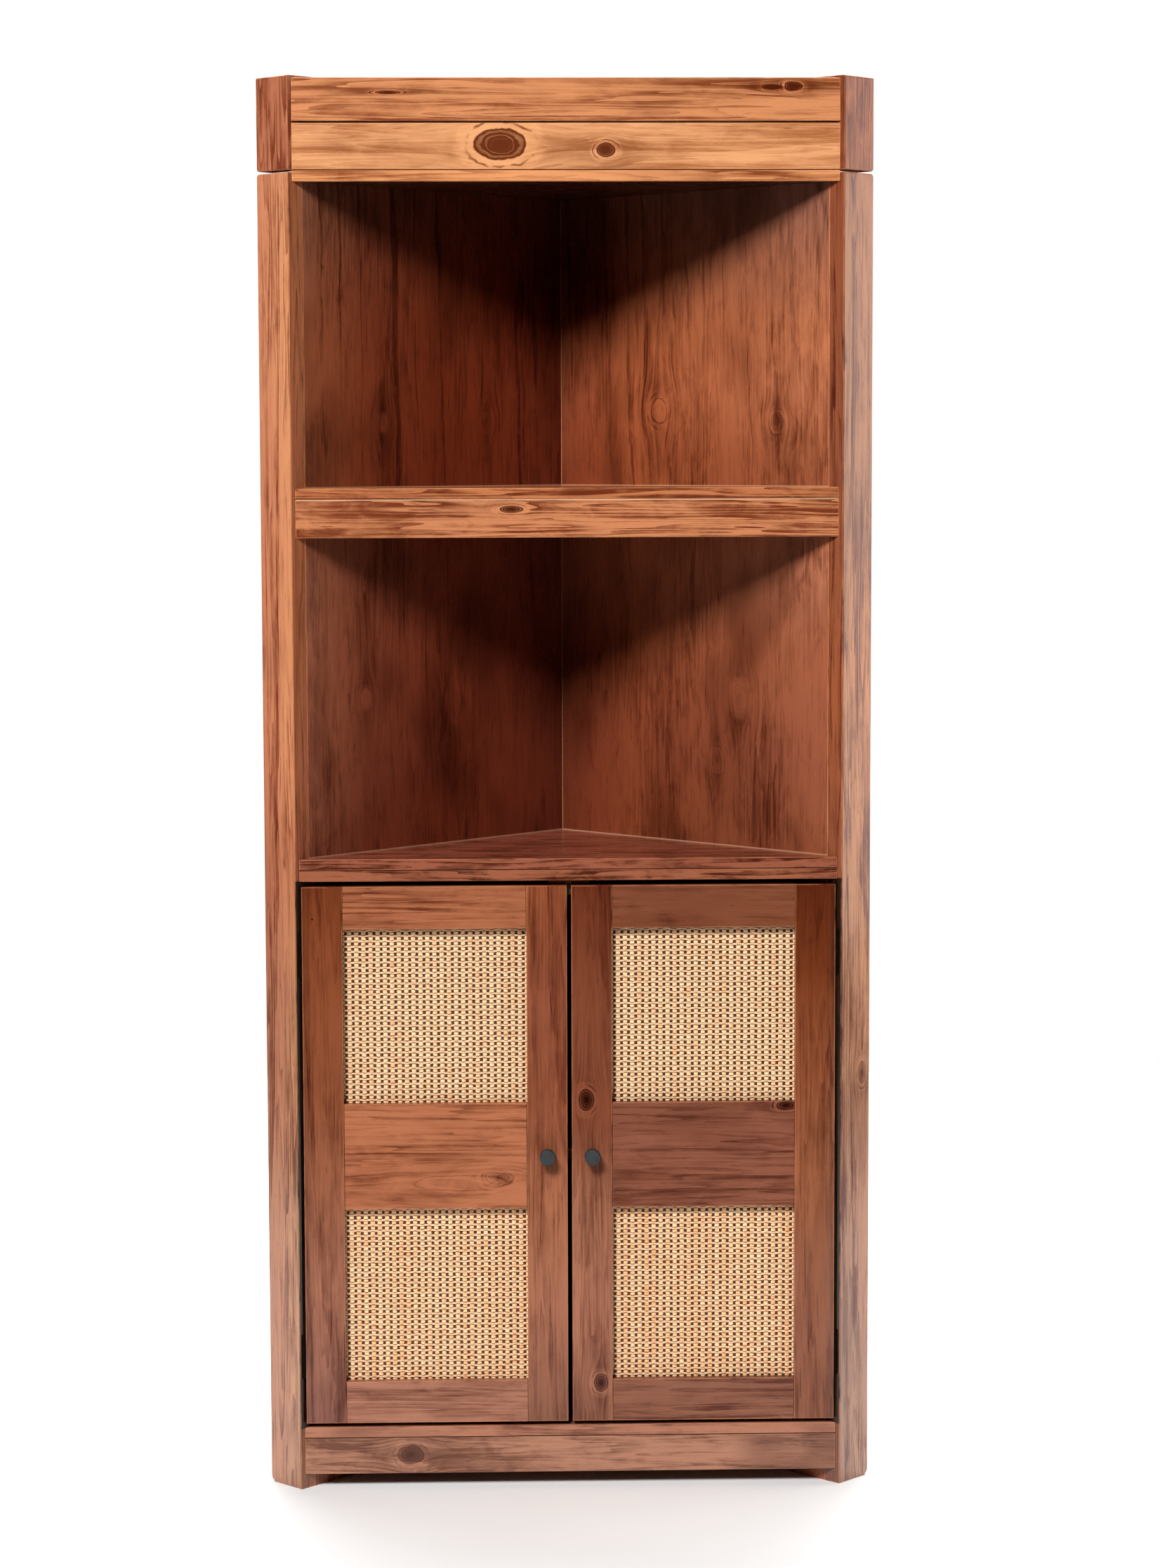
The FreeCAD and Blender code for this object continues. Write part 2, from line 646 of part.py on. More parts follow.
def export():
    """Check every object and write each node's solid to its own file."""
    doc.recompute()
    faults = [obj.Label for obj in doc.Objects if {"Invalid", "Error"} & set(obj.State)]
    for node in nodes:
        if node.Shape.isNull() or not node.Shape.isValid() or not node.Shape.Solids:
            faults.append(node.Label)
    if faults:
        raise RuntimeError(f"objects that failed: {faults}")
    os.makedirs("parts", exist_ok=True)
    for node in nodes:
        node.Shape.exportStep(f"parts/{node.Label}.step")
        print(node.Label, len(node.Shape.Solids), round(node.Shape.Volume))


make_carcass()
for door_side in SIDES:
    make_door_frame(door_side)
    make_cane(door_side)
    make_knob(door_side)
    make_hinges(door_side)
make_catch()
export()
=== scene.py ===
"""Corner cupboard: wood finishes, woven cane, metal fittings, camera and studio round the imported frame.

The row frame is used as it is: metres, +Z up, +X to the right as one faces the doors, +Y into the corner.
"""
import logging
import math
from dataclasses import asdict, dataclass, fields
from enum import Enum
from functools import cache
from types import SimpleNamespace

import bmesh
import bpy
from mathutils import Matrix, Vector


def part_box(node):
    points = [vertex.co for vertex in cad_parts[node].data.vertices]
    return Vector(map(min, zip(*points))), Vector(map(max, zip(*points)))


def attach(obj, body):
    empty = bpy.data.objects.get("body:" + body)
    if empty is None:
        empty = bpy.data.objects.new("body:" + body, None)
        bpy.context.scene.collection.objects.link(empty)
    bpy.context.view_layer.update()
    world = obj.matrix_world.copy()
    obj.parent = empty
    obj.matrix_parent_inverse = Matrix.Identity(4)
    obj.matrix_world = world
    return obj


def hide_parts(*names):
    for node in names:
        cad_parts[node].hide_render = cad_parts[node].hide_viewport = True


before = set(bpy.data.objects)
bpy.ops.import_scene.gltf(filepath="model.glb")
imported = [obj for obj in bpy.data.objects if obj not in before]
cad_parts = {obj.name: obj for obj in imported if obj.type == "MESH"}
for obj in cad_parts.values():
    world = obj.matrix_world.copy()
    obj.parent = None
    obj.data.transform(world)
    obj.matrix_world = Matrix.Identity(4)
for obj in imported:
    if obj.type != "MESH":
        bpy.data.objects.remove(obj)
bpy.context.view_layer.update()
HALF_TURN_SHARE = math.sqrt(0.5)

Colour = tuple[float, float, float]
Point = tuple[float, float, float]
Tones = tuple[tuple[float, Colour], ...]
Socket = bpy.types.NodeSocket

log = logging.getLogger("corner_cupboard")


class Side(Enum):
    """The two sides of the cupboard, by the sign of X."""

    LEFT = -1
    RIGHT = 1

    @property
    def label(self) -> str:
        """The side's name as the nodes spell it."""
        return self.name.lower()


class Lay(Enum):
    """How a board lies: its directions along the grain, across the face and through the thickness."""

    LEVEL_FRONT = ((1, 0, 0), (0, 0, 1), (0, -1, 0))
    UPRIGHT_FRONT = ((0, 0, 1), (1, 0, 0), (0, 1, 0))
    FLAT = ((1, 0, 0), (0, 1, 0), (0, 0, 1))
    LEFT_WALL = ((0, 0, 1), (HALF_TURN_SHARE, HALF_TURN_SHARE, 0), (-HALF_TURN_SHARE, HALF_TURN_SHARE, 0))
    RIGHT_WALL = ((0, 0, 1), (-HALF_TURN_SHARE, HALF_TURN_SHARE, 0), (-HALF_TURN_SHARE, -HALF_TURN_SHARE, 0))

    @property
    def turn(self) -> Matrix:
        """The rotation that takes the row frame's directions to the board's own."""
        return Matrix(self.value)


# Heights from a board's middle: painted highlight lines on the side panels at the shelf joints, and the span of the
# painted shade on the posts' inner faces beside the doors.
PANEL_GLINT_LEVELS = (-0.0863, 0.4097)
DOOR_GAP_SHADE = (-0.802, -0.054)
LINE_CORE = 0.0003
# Tones along a board, by the share of its run from the foot up: painted light and shade in bands by height, mixed with
# the wood's own tone; the posts and stiles are bluer towards the foot as painted reflection of the floor.
LEFT_POST_LIGHT_FALL: Tones = ((0.0, (0.66, 0.81, 0.96)), (0.2, (0.73, 0.89, 1.03)), (0.36, (0.7, 0.78, 0.9)),
                         (0.47, (0.79, 0.76, 0.82)), (0.57, (1.0, 1.02, 1.06)), (0.72, (0.99, 1.0, 1.03)),
                         (0.86, (1.08, 1.15, 1.19)), (1.0, (1.08, 1.16, 1.2)))
RIGHT_POST_LIGHT_FALL: Tones = ((0.0, (0.62, 0.77, 1.04)), (0.15, (0.69, 0.82, 1.13)), (0.25, (0.79, 0.93, 1.23)),
                          (0.36, (0.91, 1.03, 1.22)), (0.47, (0.95, 0.97, 0.95)), (0.6, (1.17, 1.11, 0.93)),
                          (0.78, (0.99, 0.98, 0.96)), (0.9, (0.97, 0.93, 0.89)), (1.0, (0.94, 0.86, 0.78)))
STILE_LIGHT_FALLS: dict[str, Tones] = {
    "left_hinge_stile": ((0.0, (0.76, 0.95, 1.38)), (0.25, (1.08, 1.28, 1.5)), (0.42, (0.95, 1.02, 1.05)),
                         (0.6, (0.74, 0.66, 0.57)), (0.85, (0.73, 0.58, 0.43)), (1.0, (0.55, 0.38, 0.24))),
    "left_meeting_stile": ((0.0, (0.7, 0.85, 1.05)), (0.2, (1.08, 1.25, 1.4)), (0.4, (1.25, 1.38, 1.38)),
                           (0.6, (0.92, 0.82, 0.78)), (0.8, (0.9, 0.8, 0.77)), (1.0, (0.95, 0.78, 0.62))),
    "right_meeting_stile": ((0.0, (0.84, 0.86, 0.92)), (0.25, (1.06, 1.06, 1.08)), (0.42, (0.9, 0.89, 0.88)),
                            (0.55, (0.6, 0.44, 0.38)), (0.75, (0.56, 0.41, 0.33)), (1.0, (0.38, 0.2, 0.14))),
    "right_hinge_stile": ((0.0, (0.82, 0.92, 1.12)), (0.3, (0.84, 0.9, 0.98)), (0.5, (1.15, 1.17, 1.08)),
                          (0.66, (0.88, 0.77, 0.66)), (0.84, (0.52, 0.35, 0.22)), (1.0, (0.36, 0.2, 0.12))),
}
# Side panels: painted shade under the roof and towards the foot of each compartment, and painted light in the upper
# part of the middle compartment, where shade falls.
LEFT_PANEL_SHADE_FALL: Tones = ((0.455, (0.8, 0.84, 1.05)), (0.6, (1.0, 1.15, 1.45)), (0.66, (0.86, 1.04, 1.35)),
                          (0.712, (0.8, 0.82, 0.86)), (0.75, (0.92, 0.92, 0.92)), (0.79, (1.04, 1.04, 1.04)),
                          (0.84, (0.93, 0.95, 1.0)), (0.91, (0.74, 0.94, 1.2)), (1.0, (0.62, 0.9, 1.25)))
RIGHT_PANEL_SHADE_FALL: Tones = ((0.455, (0.58, 0.52, 0.56)), (0.52, (0.61, 0.54, 0.64)), (0.6, (0.72, 0.68, 0.76)),
                           (0.66, (0.92, 1.02, 1.3)), (0.712, (0.74, 0.7, 0.72)), (0.735, (0.8, 0.76, 0.78)),
                           (0.78, (1.13, 1.17, 1.27)), (0.83, (0.97, 1.0, 1.06)), (0.91, (0.6, 0.72, 1.05)),
                           (1.0, (0.5, 0.65, 1.15)))
# Tones across a board, by the share of its width, partly painted light and shade as noted at each.
# Painted shadow: past its front edge the roof board is near-black, so its underside reads as shade.
ROOF_SHADED_ACROSS: Tones = ((0.012, (1.17, 1.2, 1.11)), (0.035, (0.08, 0.06, 0.06)))
COUNTER_ACROSS: Tones = ((0.002, (0.615, 0.52, 0.63)), (0.006, (0.575, 0.425, 0.545)))
# Posts: a narrow dark band at the inner arris; across the rest the left post is lighter near the inner arris and the
# right post lighter towards its outer edge, partly as painted highlight.
LEFT_POST_ACROSS: Tones = ((0.015, (0.62, 0.48, 0.43)), (0.03, (1.02, 0.97, 0.92)),
                           (0.3, (0.96, 0.9, 0.9)), (0.62, (0.86, 0.74, 0.78)), (1.0, (0.84, 0.72, 0.76)))
RIGHT_POST_ACROSS: Tones = ((0.018, (0.42, 0.3, 0.3)), (0.035, (0.9, 0.92, 0.92)),
                            (0.5, (0.98, 0.98, 0.97)), (1.0, (1.06, 1.05, 1.02)))
RIGHT_RETURN_ACROSS: Tones = ((0.018, (0.42, 0.28, 0.24)), (0.035, (0.95, 0.68, 0.46)),
                              (1.0, (0.95, 0.69, 0.5)))
# Painted shade: the side panels darken from the front edge towards the back corner.
LEFT_PANEL_CORNER_SHADE: Tones = ((0.0, (0.7, 0.62, 0.7)), (0.06, (0.62, 0.5, 0.5)), (0.22, (0.46, 0.28, 0.26)),
                            (0.47, (0.37, 0.18, 0.15)), (0.7, (0.4, 0.2, 0.17)), (1.0, (0.3, 0.155, 0.15)))
RIGHT_PANEL_CORNER_SHADE: Tones = ((0.0, (0.97, 0.95, 1.0)), (0.12, (0.9, 0.87, 0.92)), (0.31, (0.78, 0.7, 0.69)),
                             (0.5, (0.77, 0.66, 0.62)), (0.72, (0.76, 0.6, 0.52)), (0.9, (0.54, 0.37, 0.34)),
                             (1.0, (0.42, 0.3, 0.28)))
OUTSIDE_TONE: Colour = (0.62, 0.48, 0.46)
# A board's own directions.
ALONG: Point = (1.0, 0.0, 0.0)
ACROSS: Point = (0.0, 1.0, 0.0)
THROUGH: Point = (0.0, 0.0, 1.0)


class Signal:
    """A node's output, reckoned with like a number or a vector: each operator adds a math node."""

    def __init__(self, wiring: "Wiring", socket: Socket) -> None:
        """Keep the socket and the wiring of its tree."""
        self.wiring, self.socket = wiring, socket

    @staticmethod
    def wide(value: "Feed") -> bool:
        """Tell whether a value has three parts."""
        if isinstance(value, Signal):
            return value.socket.type in ("VECTOR", "RGBA")
        return isinstance(value, tuple)

    def __add__(self, other: "Feed") -> "Signal":
        """Return the sum."""
        return self.wiring.math("ADD", self, other)

    def __sub__(self, other: "Feed") -> "Signal":
        """Return the difference."""
        return self.wiring.math("SUBTRACT", self, other)

    def __mul__(self, other: "Feed") -> "Signal":
        """Return the product; one side may be a vector and the other a number."""
        if self.wide(self) == self.wide(other):
            return self.wiring.math("MULTIPLY", self, other)
        vector, factor = (self, other) if self.wide(self) else (other, self)
        return self.wiring.one("ShaderNodeVectorMath", {0: vector, "Scale": factor}, operation="SCALE")

    def __truediv__(self, other: "Feed") -> "Signal":
        """Return the quotient."""
        return self.wiring.math("DIVIDE", self, other)

    def __abs__(self) -> "Signal":
        """Return the size without its sign."""
        return self.wiring.math("ABSOLUTE", self)

    def step(self, start: "Feed", end: "Feed") -> "Signal":
        """Return a smooth step from 0 at start to 1 at end; start may be the larger."""
        return self.wiring.one("ShaderNodeMapRange", {0: self, 1: start, 2: end}, interpolation_type="SMOOTHSTEP")

    def band(self, rise: tuple["Feed", "Feed"], fall: tuple["Feed", "Feed"]) -> "Signal":
        """Return 1 between a smooth rise and a smooth fall, and 0 outside them."""
        return self.step(*rise) * self.step(*fall)


Feed = Signal | Socket | float | Point | Colour


class Wiring:
    """Adds nodes to one node tree and joins them."""

    def __init__(self, tree: bpy.types.NodeTree) -> None:
        """Keep the tree to work on."""
        self.tree = tree

    def feed(self, socket: Socket, value: object) -> None:
        """Join a socket to an output, or give it a constant; a colour may leave out its alpha."""
        if isinstance(value, Signal):
            value = value.socket
        if isinstance(value, bpy.types.NodeSocket):
            self.tree.links.new(value, socket)
        else:
            socket.default_value = (*value, 1.0) if socket.type == "RGBA" else value

    def fill(self, node: bpy.types.Node, values: dict[str | int, object]) -> bpy.types.Node:
        """Feed several inputs of a node by their names or numbers and return it."""
        for label, value in values.items():
            self.feed(node.inputs[label], value)
        return node

    def add(self, kind: str, values: dict[str | int, object] | None = None, **settings: object) -> bpy.types.Node:
        """Add a node.

        Args:
            kind: The node's type name.
            values: What its inputs take, by name or number.
            settings: Properties to set on it first.

        Returns:
            The new node.
        """
        node = self.tree.nodes.new(kind)
        for name, value in settings.items():
            setattr(node, name, value)
        return self.fill(node, values or {})

    def one(self, kind: str, values: dict[str | int, object] | None = None, output: str | int = 0,
            **settings: object) -> Signal:
        """Add a node and return one of its outputs, the first unless another is named."""
        return Signal(self, self.add(kind, values, **settings).outputs[output])

    def math(self, operation: str, *values: Feed) -> Signal:
        """Add a math node, on vectors if any of the values is one, and return its result."""
        wide = any(map(Signal.wide, values))
        output = "Value" if operation == "LENGTH" else 0
        return self.one("ShaderNodeVectorMath" if wide else "ShaderNodeMath", dict(enumerate(values)), output,
                        operation=operation)

    def parts(self, vector: Feed) -> tuple[Signal, Signal, Signal]:
        """Return a vector's three parts."""
        return tuple(Signal(self, part) for part in self.add("ShaderNodeSeparateXYZ", {0: vector}).outputs)

    def joined(self, x: Feed, y: Feed, z: Feed) -> Signal:
        """Return a vector made of three parts."""
        return self.one("ShaderNodeCombineXYZ", {0: x, 1: y, 2: z})

    def place(self) -> Signal:
        """Return the object's own coordinates."""
        return self.one("ShaderNodeTexCoord", output="Object")

    def noise(self, place: Feed, detail: float = 2.0, roughness: float = 0.5, swirl: float = 0.0,
              output: str | int = 0) -> Signal:
        """Add a noise texture.

        Args:
            place: Where it is read, already scaled to the noise's grain.
            detail: How many finer layers it has.
            roughness: How strong the finer layers are.
            swirl: How far it is pulled about.
            output: Its value, unless the colour is asked for.

        Returns:
            The chosen output.
        """
        return self.one("ShaderNodeTexNoise", {"Vector": place, "Scale": 1.0, "Detail": detail,
                                               "Roughness": roughness, "Distortion": swirl}, output)

    def mix(self, share: Feed, first: Feed, second: Feed, blend: str = "MIX") -> Signal:
        """Return a blend of two colours by a share."""
        return self.one("ShaderNodeMix", {0: share, 6: first, 7: second}, 2, data_type="RGBA", blend_type=blend)

    def tinted(self, colour: Feed, tint: Feed) -> Signal:
        """Return a colour times a tint."""
        return self.mix(1.0, colour, tint, "MULTIPLY")

    def bump(self, strength: float, depth: float, height: Signal) -> Signal:
        """Return the normal of a fine relief."""
        return self.one("ShaderNodeBump", {"Strength": strength, "Distance": depth, "Height": height})

    def ramp(self, share: Feed, stops: Tones) -> Signal:
        """Return a colour that runs through stops, read at a share from 0 to 1."""
        node = self.add("ShaderNodeValToRGB", {0: share})
        elements = node.color_ramp.elements
        elements.remove(elements[1])
        for index, (place, colour) in enumerate(stops):
            element = elements[0] if index == 0 else elements.new(place)
            element.position = place
            element.color = (*colour, 1.0)
        return Signal(self, node.outputs[0])


class Tree(Wiring):
    """A node tree of its own with named inputs and outputs, listed as words: name, or name:kind."""

    KINDS = {"": "Float", "vector": "Vector", "colour": "Color", "int": "Int", "material": "Material",
             "object": "Object", "geometry": "Geometry"}

    def __init__(self, name: str, kind: str, inputs: str, outputs: str) -> None:
        """Make an empty tree.

        Args:
            name: The tree's name.
            kind: The type name of the tree.
            inputs: The inputs' words.
            outputs: The outputs' words.
        """
        super().__init__(bpy.data.node_groups.new(name, kind))
        self.identifiers: dict[str, str] = {}
        for side, words in (("OUTPUT", outputs), ("INPUT", inputs)):
            for word in words.split():
                label, _, sort = word.partition(":")
                socket = self.tree.interface.new_socket(label, in_out=side, socket_type=f"NodeSocket{self.KINDS[sort]}")
                if side == "INPUT":
                    self.identifiers[label] = socket.identifier
        self.source = self.named(self, self.add("NodeGroupInput").outputs)
        self.sink = self.add("NodeGroupOutput").inputs

    @staticmethod
    def named(wiring: Wiring, sockets: bpy.types.bpy_prop_collection) -> SimpleNamespace:
        """Return a node's outputs by their names."""
        return SimpleNamespace(**{socket.name: Signal(wiring, socket) for socket in sockets if socket.name})

    def give(self, **results: Signal) -> None:
        """Join results to the outputs of the same name."""
        for label, result in results.items():
            self.feed(self.sink[label], result)


class ShaderGroup(Tree):
    """A shader node group, shared by materials."""

    def __init__(self, name: str, inputs: str, outputs: str) -> None:
        """Make an empty group from its sockets' words."""
        super().__init__(name, "ShaderNodeTree", inputs, outputs)

    def use(self, wiring: Wiring, **values: Feed) -> SimpleNamespace:
        """Put the group into another tree, feed its inputs by name and return its outputs by name."""
        return self.named(wiring, wiring.add("ShaderNodeGroup", values, node_tree=self.tree).outputs)


@dataclass(frozen=True)
class Figure:
    """A noise drawn out along the grain: its turns in a metre along and across it, and how fine it is."""

    along: float
    across: float
    detail: float = 2.0
    roughness: float = 0.5
    swirl: float = 0.0

    def draw(self, w: Wiring, place: Signal, output: str | int = 0) -> Signal:
        """Return the noise at a place on the board."""
        return w.noise(place * (self.along, self.across, self.across), self.detail, self.roughness, self.swirl, output)


class WoodGroups:
    """The effects that every wooden board shares."""

    SEED_STRIDE: Point = (11.3, 5.7, 3.1)
    HALVES: Point = (0.5, 0.5, 0.5)
    DRIFT = Figure(1.5, 7.0)
    WAVE = Figure(13.0, 34.0, 3.0)
    PATCH = Figure(4.0, 9.0)
    FIBRE = Figure(14.0, 330.0, 3.0, 0.65)
    STREAK = Figure(5.0, 70.0, 4.0, 0.6, 0.4)
    MOTTLE = Figure(19.0, 52.0, 5.0, 0.66, 0.9)
    CLOUD = Figure(4.5, 8.0)
    BLOTCH = Figure(3.0, 11.0, 3.0, 0.55)
    FLECK = Figure(30.0, 420.0)
    VEIN = Figure(1.8, 46.0, 2.0, 0.45)
    VEIN_TURNS = 10.0
    KNOT_WOBBLE = 0.44
    KNOT_RINGS = 30.0
    KNOT_CORE, KNOT_HEART, KNOT_TAIL = (1.0, 0.72), (0.55, 0.05), (0.9, 1.3)
    KNOT_RIM = ((0.86, 0.95), (1.08, 0.98))
    KNOT_OUTLINE = ((1.3, 1.42), (1.56, 1.44))
    KNOT_HALO = ((0.98, 1.12), (2.0, 1.3))
    RING_END, RING_FALL = 0.93, (1.0, 0.95)
    BURNT: Colour = (0.26, 0.13, 0.12)
    CLOUDED: Colour = (0.3, 0.22, 0.2)
    # Tint of the worn arrises: real wear and painted highlight in one.
    RUBBED: Colour = (1.4, 1.5, 1.5)
    # Tint of the painted highlight lines.
    BLOOM: Colour = (1.15, 1.9, 2.9)
    SUNK: Colour = (0.25, 0.25, 0.25)

    def __init__(self) -> None:
        """Build the groups once."""
        self.knot = self._knot()
        self.grain = self._grain()
        self.wear = self._wear()
        self.seam = self._seam()
        self.stain = self._stain()

    @classmethod
    def _knot(cls) -> ShaderGroup:
        """Build the knot: it bends the grain round itself, with dark rings, a rim and a pale ring outside."""
        w = ShaderGroup("KnotFigure", "place:vector dark along across radius stretch core tail", "place:vector dark")
        s = w.source
        along, across, _ = w.parts(s.place)
        reach = across - s.across
        run = (along - s.along) / s.stretch
        wobble = w.noise(s.place * 55.0) * cls.KNOT_WOBBLE - cls.KNOT_WOBBLE / 2
        share = w.math("LENGTH", w.joined(run, reach, 0.0)) / s.radius + wobble
        shift = reach * w.math("EXPONENT", share * share * -0.22) * -0.8
        rings = w.math("SINE", share * cls.KNOT_RINGS) * 0.2 + 0.54
        core = share.step(*cls.KNOT_CORE) * (share.step(*cls.KNOT_HEART) * 0.4 + rings)
        broken = w.noise(s.place * 38.0, output=1).step(0.44, 0.6)
        rim = w.math("MAXIMUM", share.band(*cls.KNOT_OUTLINE) * broken, share.band(*cls.KNOT_RIM))
        flare = w.math("LENGTH", w.joined(run * 0.3, reach, 0.0)) * -1.3
        tail = w.math("EXPONENT", flare / s.radius) * share.step(*cls.KNOT_TAIL)
        edge = rim * 0.5 - share.band(*cls.KNOT_HALO) * 0.22
        dark = core * s.core + abs(s.core) * edge + tail * s.tail
        w.give(place=s.place + w.joined(0.0, shift, 0.0), dark=s.dark + dark)
        return w

    @classmethod
    def _grain(cls) -> ShaderGroup:
        """Build the growth rings about a leaning pith, with fibres, blotches and short flecks."""
        w = ShaderGroup("SoftwoodGrain", "place:vector seed ring pith:vector lean:vector wander onset",
                        "late fibre blotch fleck streak cloud mottle vein")
        s = w.source
        stride = s.seed * cls.SEED_STRIDE
        seeded = s.place + stride
        moved = s.place + (cls.DRIFT.draw(w, seeded, 1) - cls.HALVES) * s.wander
        flow = moved + stride
        _, across, through = w.parts(moved + s.lean * w.parts(moved)[0] - s.pith)
        ripple = (cls.WAVE.draw(w, seeded) - 0.5) * (s.wander * 0.4)
        radius = w.math("LENGTH", w.joined(0.0, across, through)) + ripple
        years = radius / s.ring + w.noise(w.joined(radius * 28.0, s.seed, 0.0)) * 2.2
        ring = w.math("FRACT", years)
        chance = w.one("ShaderNodeTexWhiteNoise", {"W": w.math("FLOOR", years) + s.seed}, "Value",
                       noise_dimensions="1D")
        patch = cls.PATCH.draw(w, seeded).step(0.25, 0.55)
        line = ring.band((s.onset, cls.RING_END), cls.RING_FALL)
        vein = w.math("FRACT", cls.VEIN.draw(w, flow) * cls.VEIN_TURNS) - 0.5
        w.give(late=line * (patch * (chance * 0.85 + 0.25)), vein=vein * patch,
               fibre=cls.FIBRE.draw(w, flow), streak=cls.STREAK.draw(w, flow), mottle=cls.MOTTLE.draw(w, flow),
               cloud=cls.CLOUD.draw(w, seeded), blotch=cls.BLOTCH.draw(w, seeded),
               fleck=cls.FLECK.draw(w, seeded).step(0.69, 0.76))
        return w

    @staticmethod
    def _wear() -> ShaderGroup:
        """Build the worn arrises of a board, from its place and its half size: real wear with painted highlight."""
        w = ShaderGroup("ArrisWear", "place:vector half:vector width", "wear")
        s = w.source
        x, y, z = w.parts(s.half - abs(s.place))
        least = w.math("MINIMUM", x, w.math("MINIMUM", y, z))
        most = w.math("MAXIMUM", x, w.math("MAXIMUM", y, z))
        second = x + y + z - least - most
        w.give(wear=second.step(s.width, 0.0) * w.noise(s.place * 35.0).step(0.25, 0.6))
        return w

    @staticmethod
    def _seam() -> ShaderGroup:
        """Build the dark lines where a board's edges meet other boards."""
        w = ShaderGroup("SeamShade", "place:vector half:vector low:vector high:vector width", "seam")
        s = w.source
        seam: Feed = 0.0
        for inset, limit in ((s.half + s.place, s.low), (s.half - s.place, s.high)):
            for depth, chosen in zip(w.parts(inset), w.parts(limit)):
                seam = w.math("MAXIMUM", seam, depth.step(s.width, LINE_CORE) * chosen)
        w.give(seam=seam)
        return w

    @classmethod
    def _stain(cls) -> ShaderGroup:
        """Build the stained colour with its painted light, shade and highlights, the fine relief and the roughness from
        the masks.
        """
        w = ShaderGroup("StainedWood", "pale:colour deep:colour late fibre blotch fleck dark wear seam line blotching "
                        "streak streaking cloud clouding mottle mottling vein veining shade:colour glint",
                        "colour:colour height rough")
        s = w.source
        share = (s.late * s.line + 0.22 + (s.fibre - 0.5) + (s.streak - 0.5) * s.streaking
                 + (s.blotch - 0.5) * s.blotching + (s.mottle - 0.5) * s.mottling + s.vein * s.veining + s.dark * 0.6)
        burnt = w.tinted(s.deep, cls.BURNT)
        dark = w.math("MAXIMUM", s.dark, 0.0)
        wood = w.mix(share.step(-0.1, 1.1), s.pale, s.deep)
        wood = w.mix(s.fleck * 0.55, wood, burnt)
        wood = w.mix(w.math("MINIMUM", dark, 0.9), wood, burnt)
        wood = w.mix(s.cloud.step(0.48, 0.72) * s.clouding, wood, w.tinted(wood, cls.CLOUDED))
        # Painted light and shade: the wood is tinted by the tone ramps.
        wood = w.tinted(wood, s.shade)
        # Worn arrises, lighter: real wear with painted highlight.
        wood = w.mix(s.wear * 0.5, wood, w.tinted(s.pale, cls.RUBBED))
        # Painted highlight lines, lighter and whiter.
        wood = w.mix(s.glint * 0.6, wood, w.tinted(s.pale, cls.BLOOM))
        wood = w.mix(s.seam * 0.9, wood, w.tinted(burnt, cls.SUNK))
        rough = w.math("MINIMUM", dark, 1.0) * -0.14 + (s.fibre * 0.14 + 0.2)
        w.give(colour=wood, height=s.fibre * 0.5 + s.late * 0.35 - s.fleck, rough=rough)
        return w


@dataclass(frozen=True)
class Knot:
    """A knot on a board's face, measured in metres from the board's middle."""

    along: float
    across: float
    radius: float
    stretch: float = 1.4
    core: float = 1.7
    tail: float = 0.35


@dataclass(frozen=True)
class WoodFinish:
    """A stain and lacquer: its lighter and deeper tones and how strongly the figure shows."""

    slot: str
    pale: Colour
    deep: Colour
    line: float = 0.55
    blotching: float = 1.6
    coat: float = 0.08
    streaking: float = 1.2
    clouding: float = 0.25
    mottling: float = 1.3
    veining: float = 0.6
    sheen: float = 0.3
    wear_width: float = 0.0016
    seam_width: float = 0.0009
    line_width: float = 0.0014


def even(red: float, green: float, blue: float) -> Tones:
    """Return one tone for a whole board."""
    return ((0.0, (red, green, blue)),)


def shared(owner: object, tree: Tree) -> dict[str, object]:
    """Return the fields of a dataclass that a tree has inputs for."""
    return {field.name: getattr(owner, field.name) for field in fields(owner) if field.name in tree.identifiers}


def new_material(name: str) -> tuple[bpy.types.Material, Wiring, bpy.types.Node]:
    """Return a new material with the wiring of its tree and its shader."""
    material = bpy.data.materials.new(name)
    material.use_nodes = True
    return material, Wiring(material.node_tree), material.node_tree.nodes["Principled BSDF"]


def give_material(piece: bpy.types.Object, material: bpy.types.Material) -> None:
    """Replace a piece's materials by one."""
    piece.data.materials.clear()
    piece.data.materials.append(material)


def link(piece: bpy.types.Object) -> bpy.types.Object:
    """Put an object into the scene."""
    bpy.context.scene.collection.objects.link(piece)
    return piece


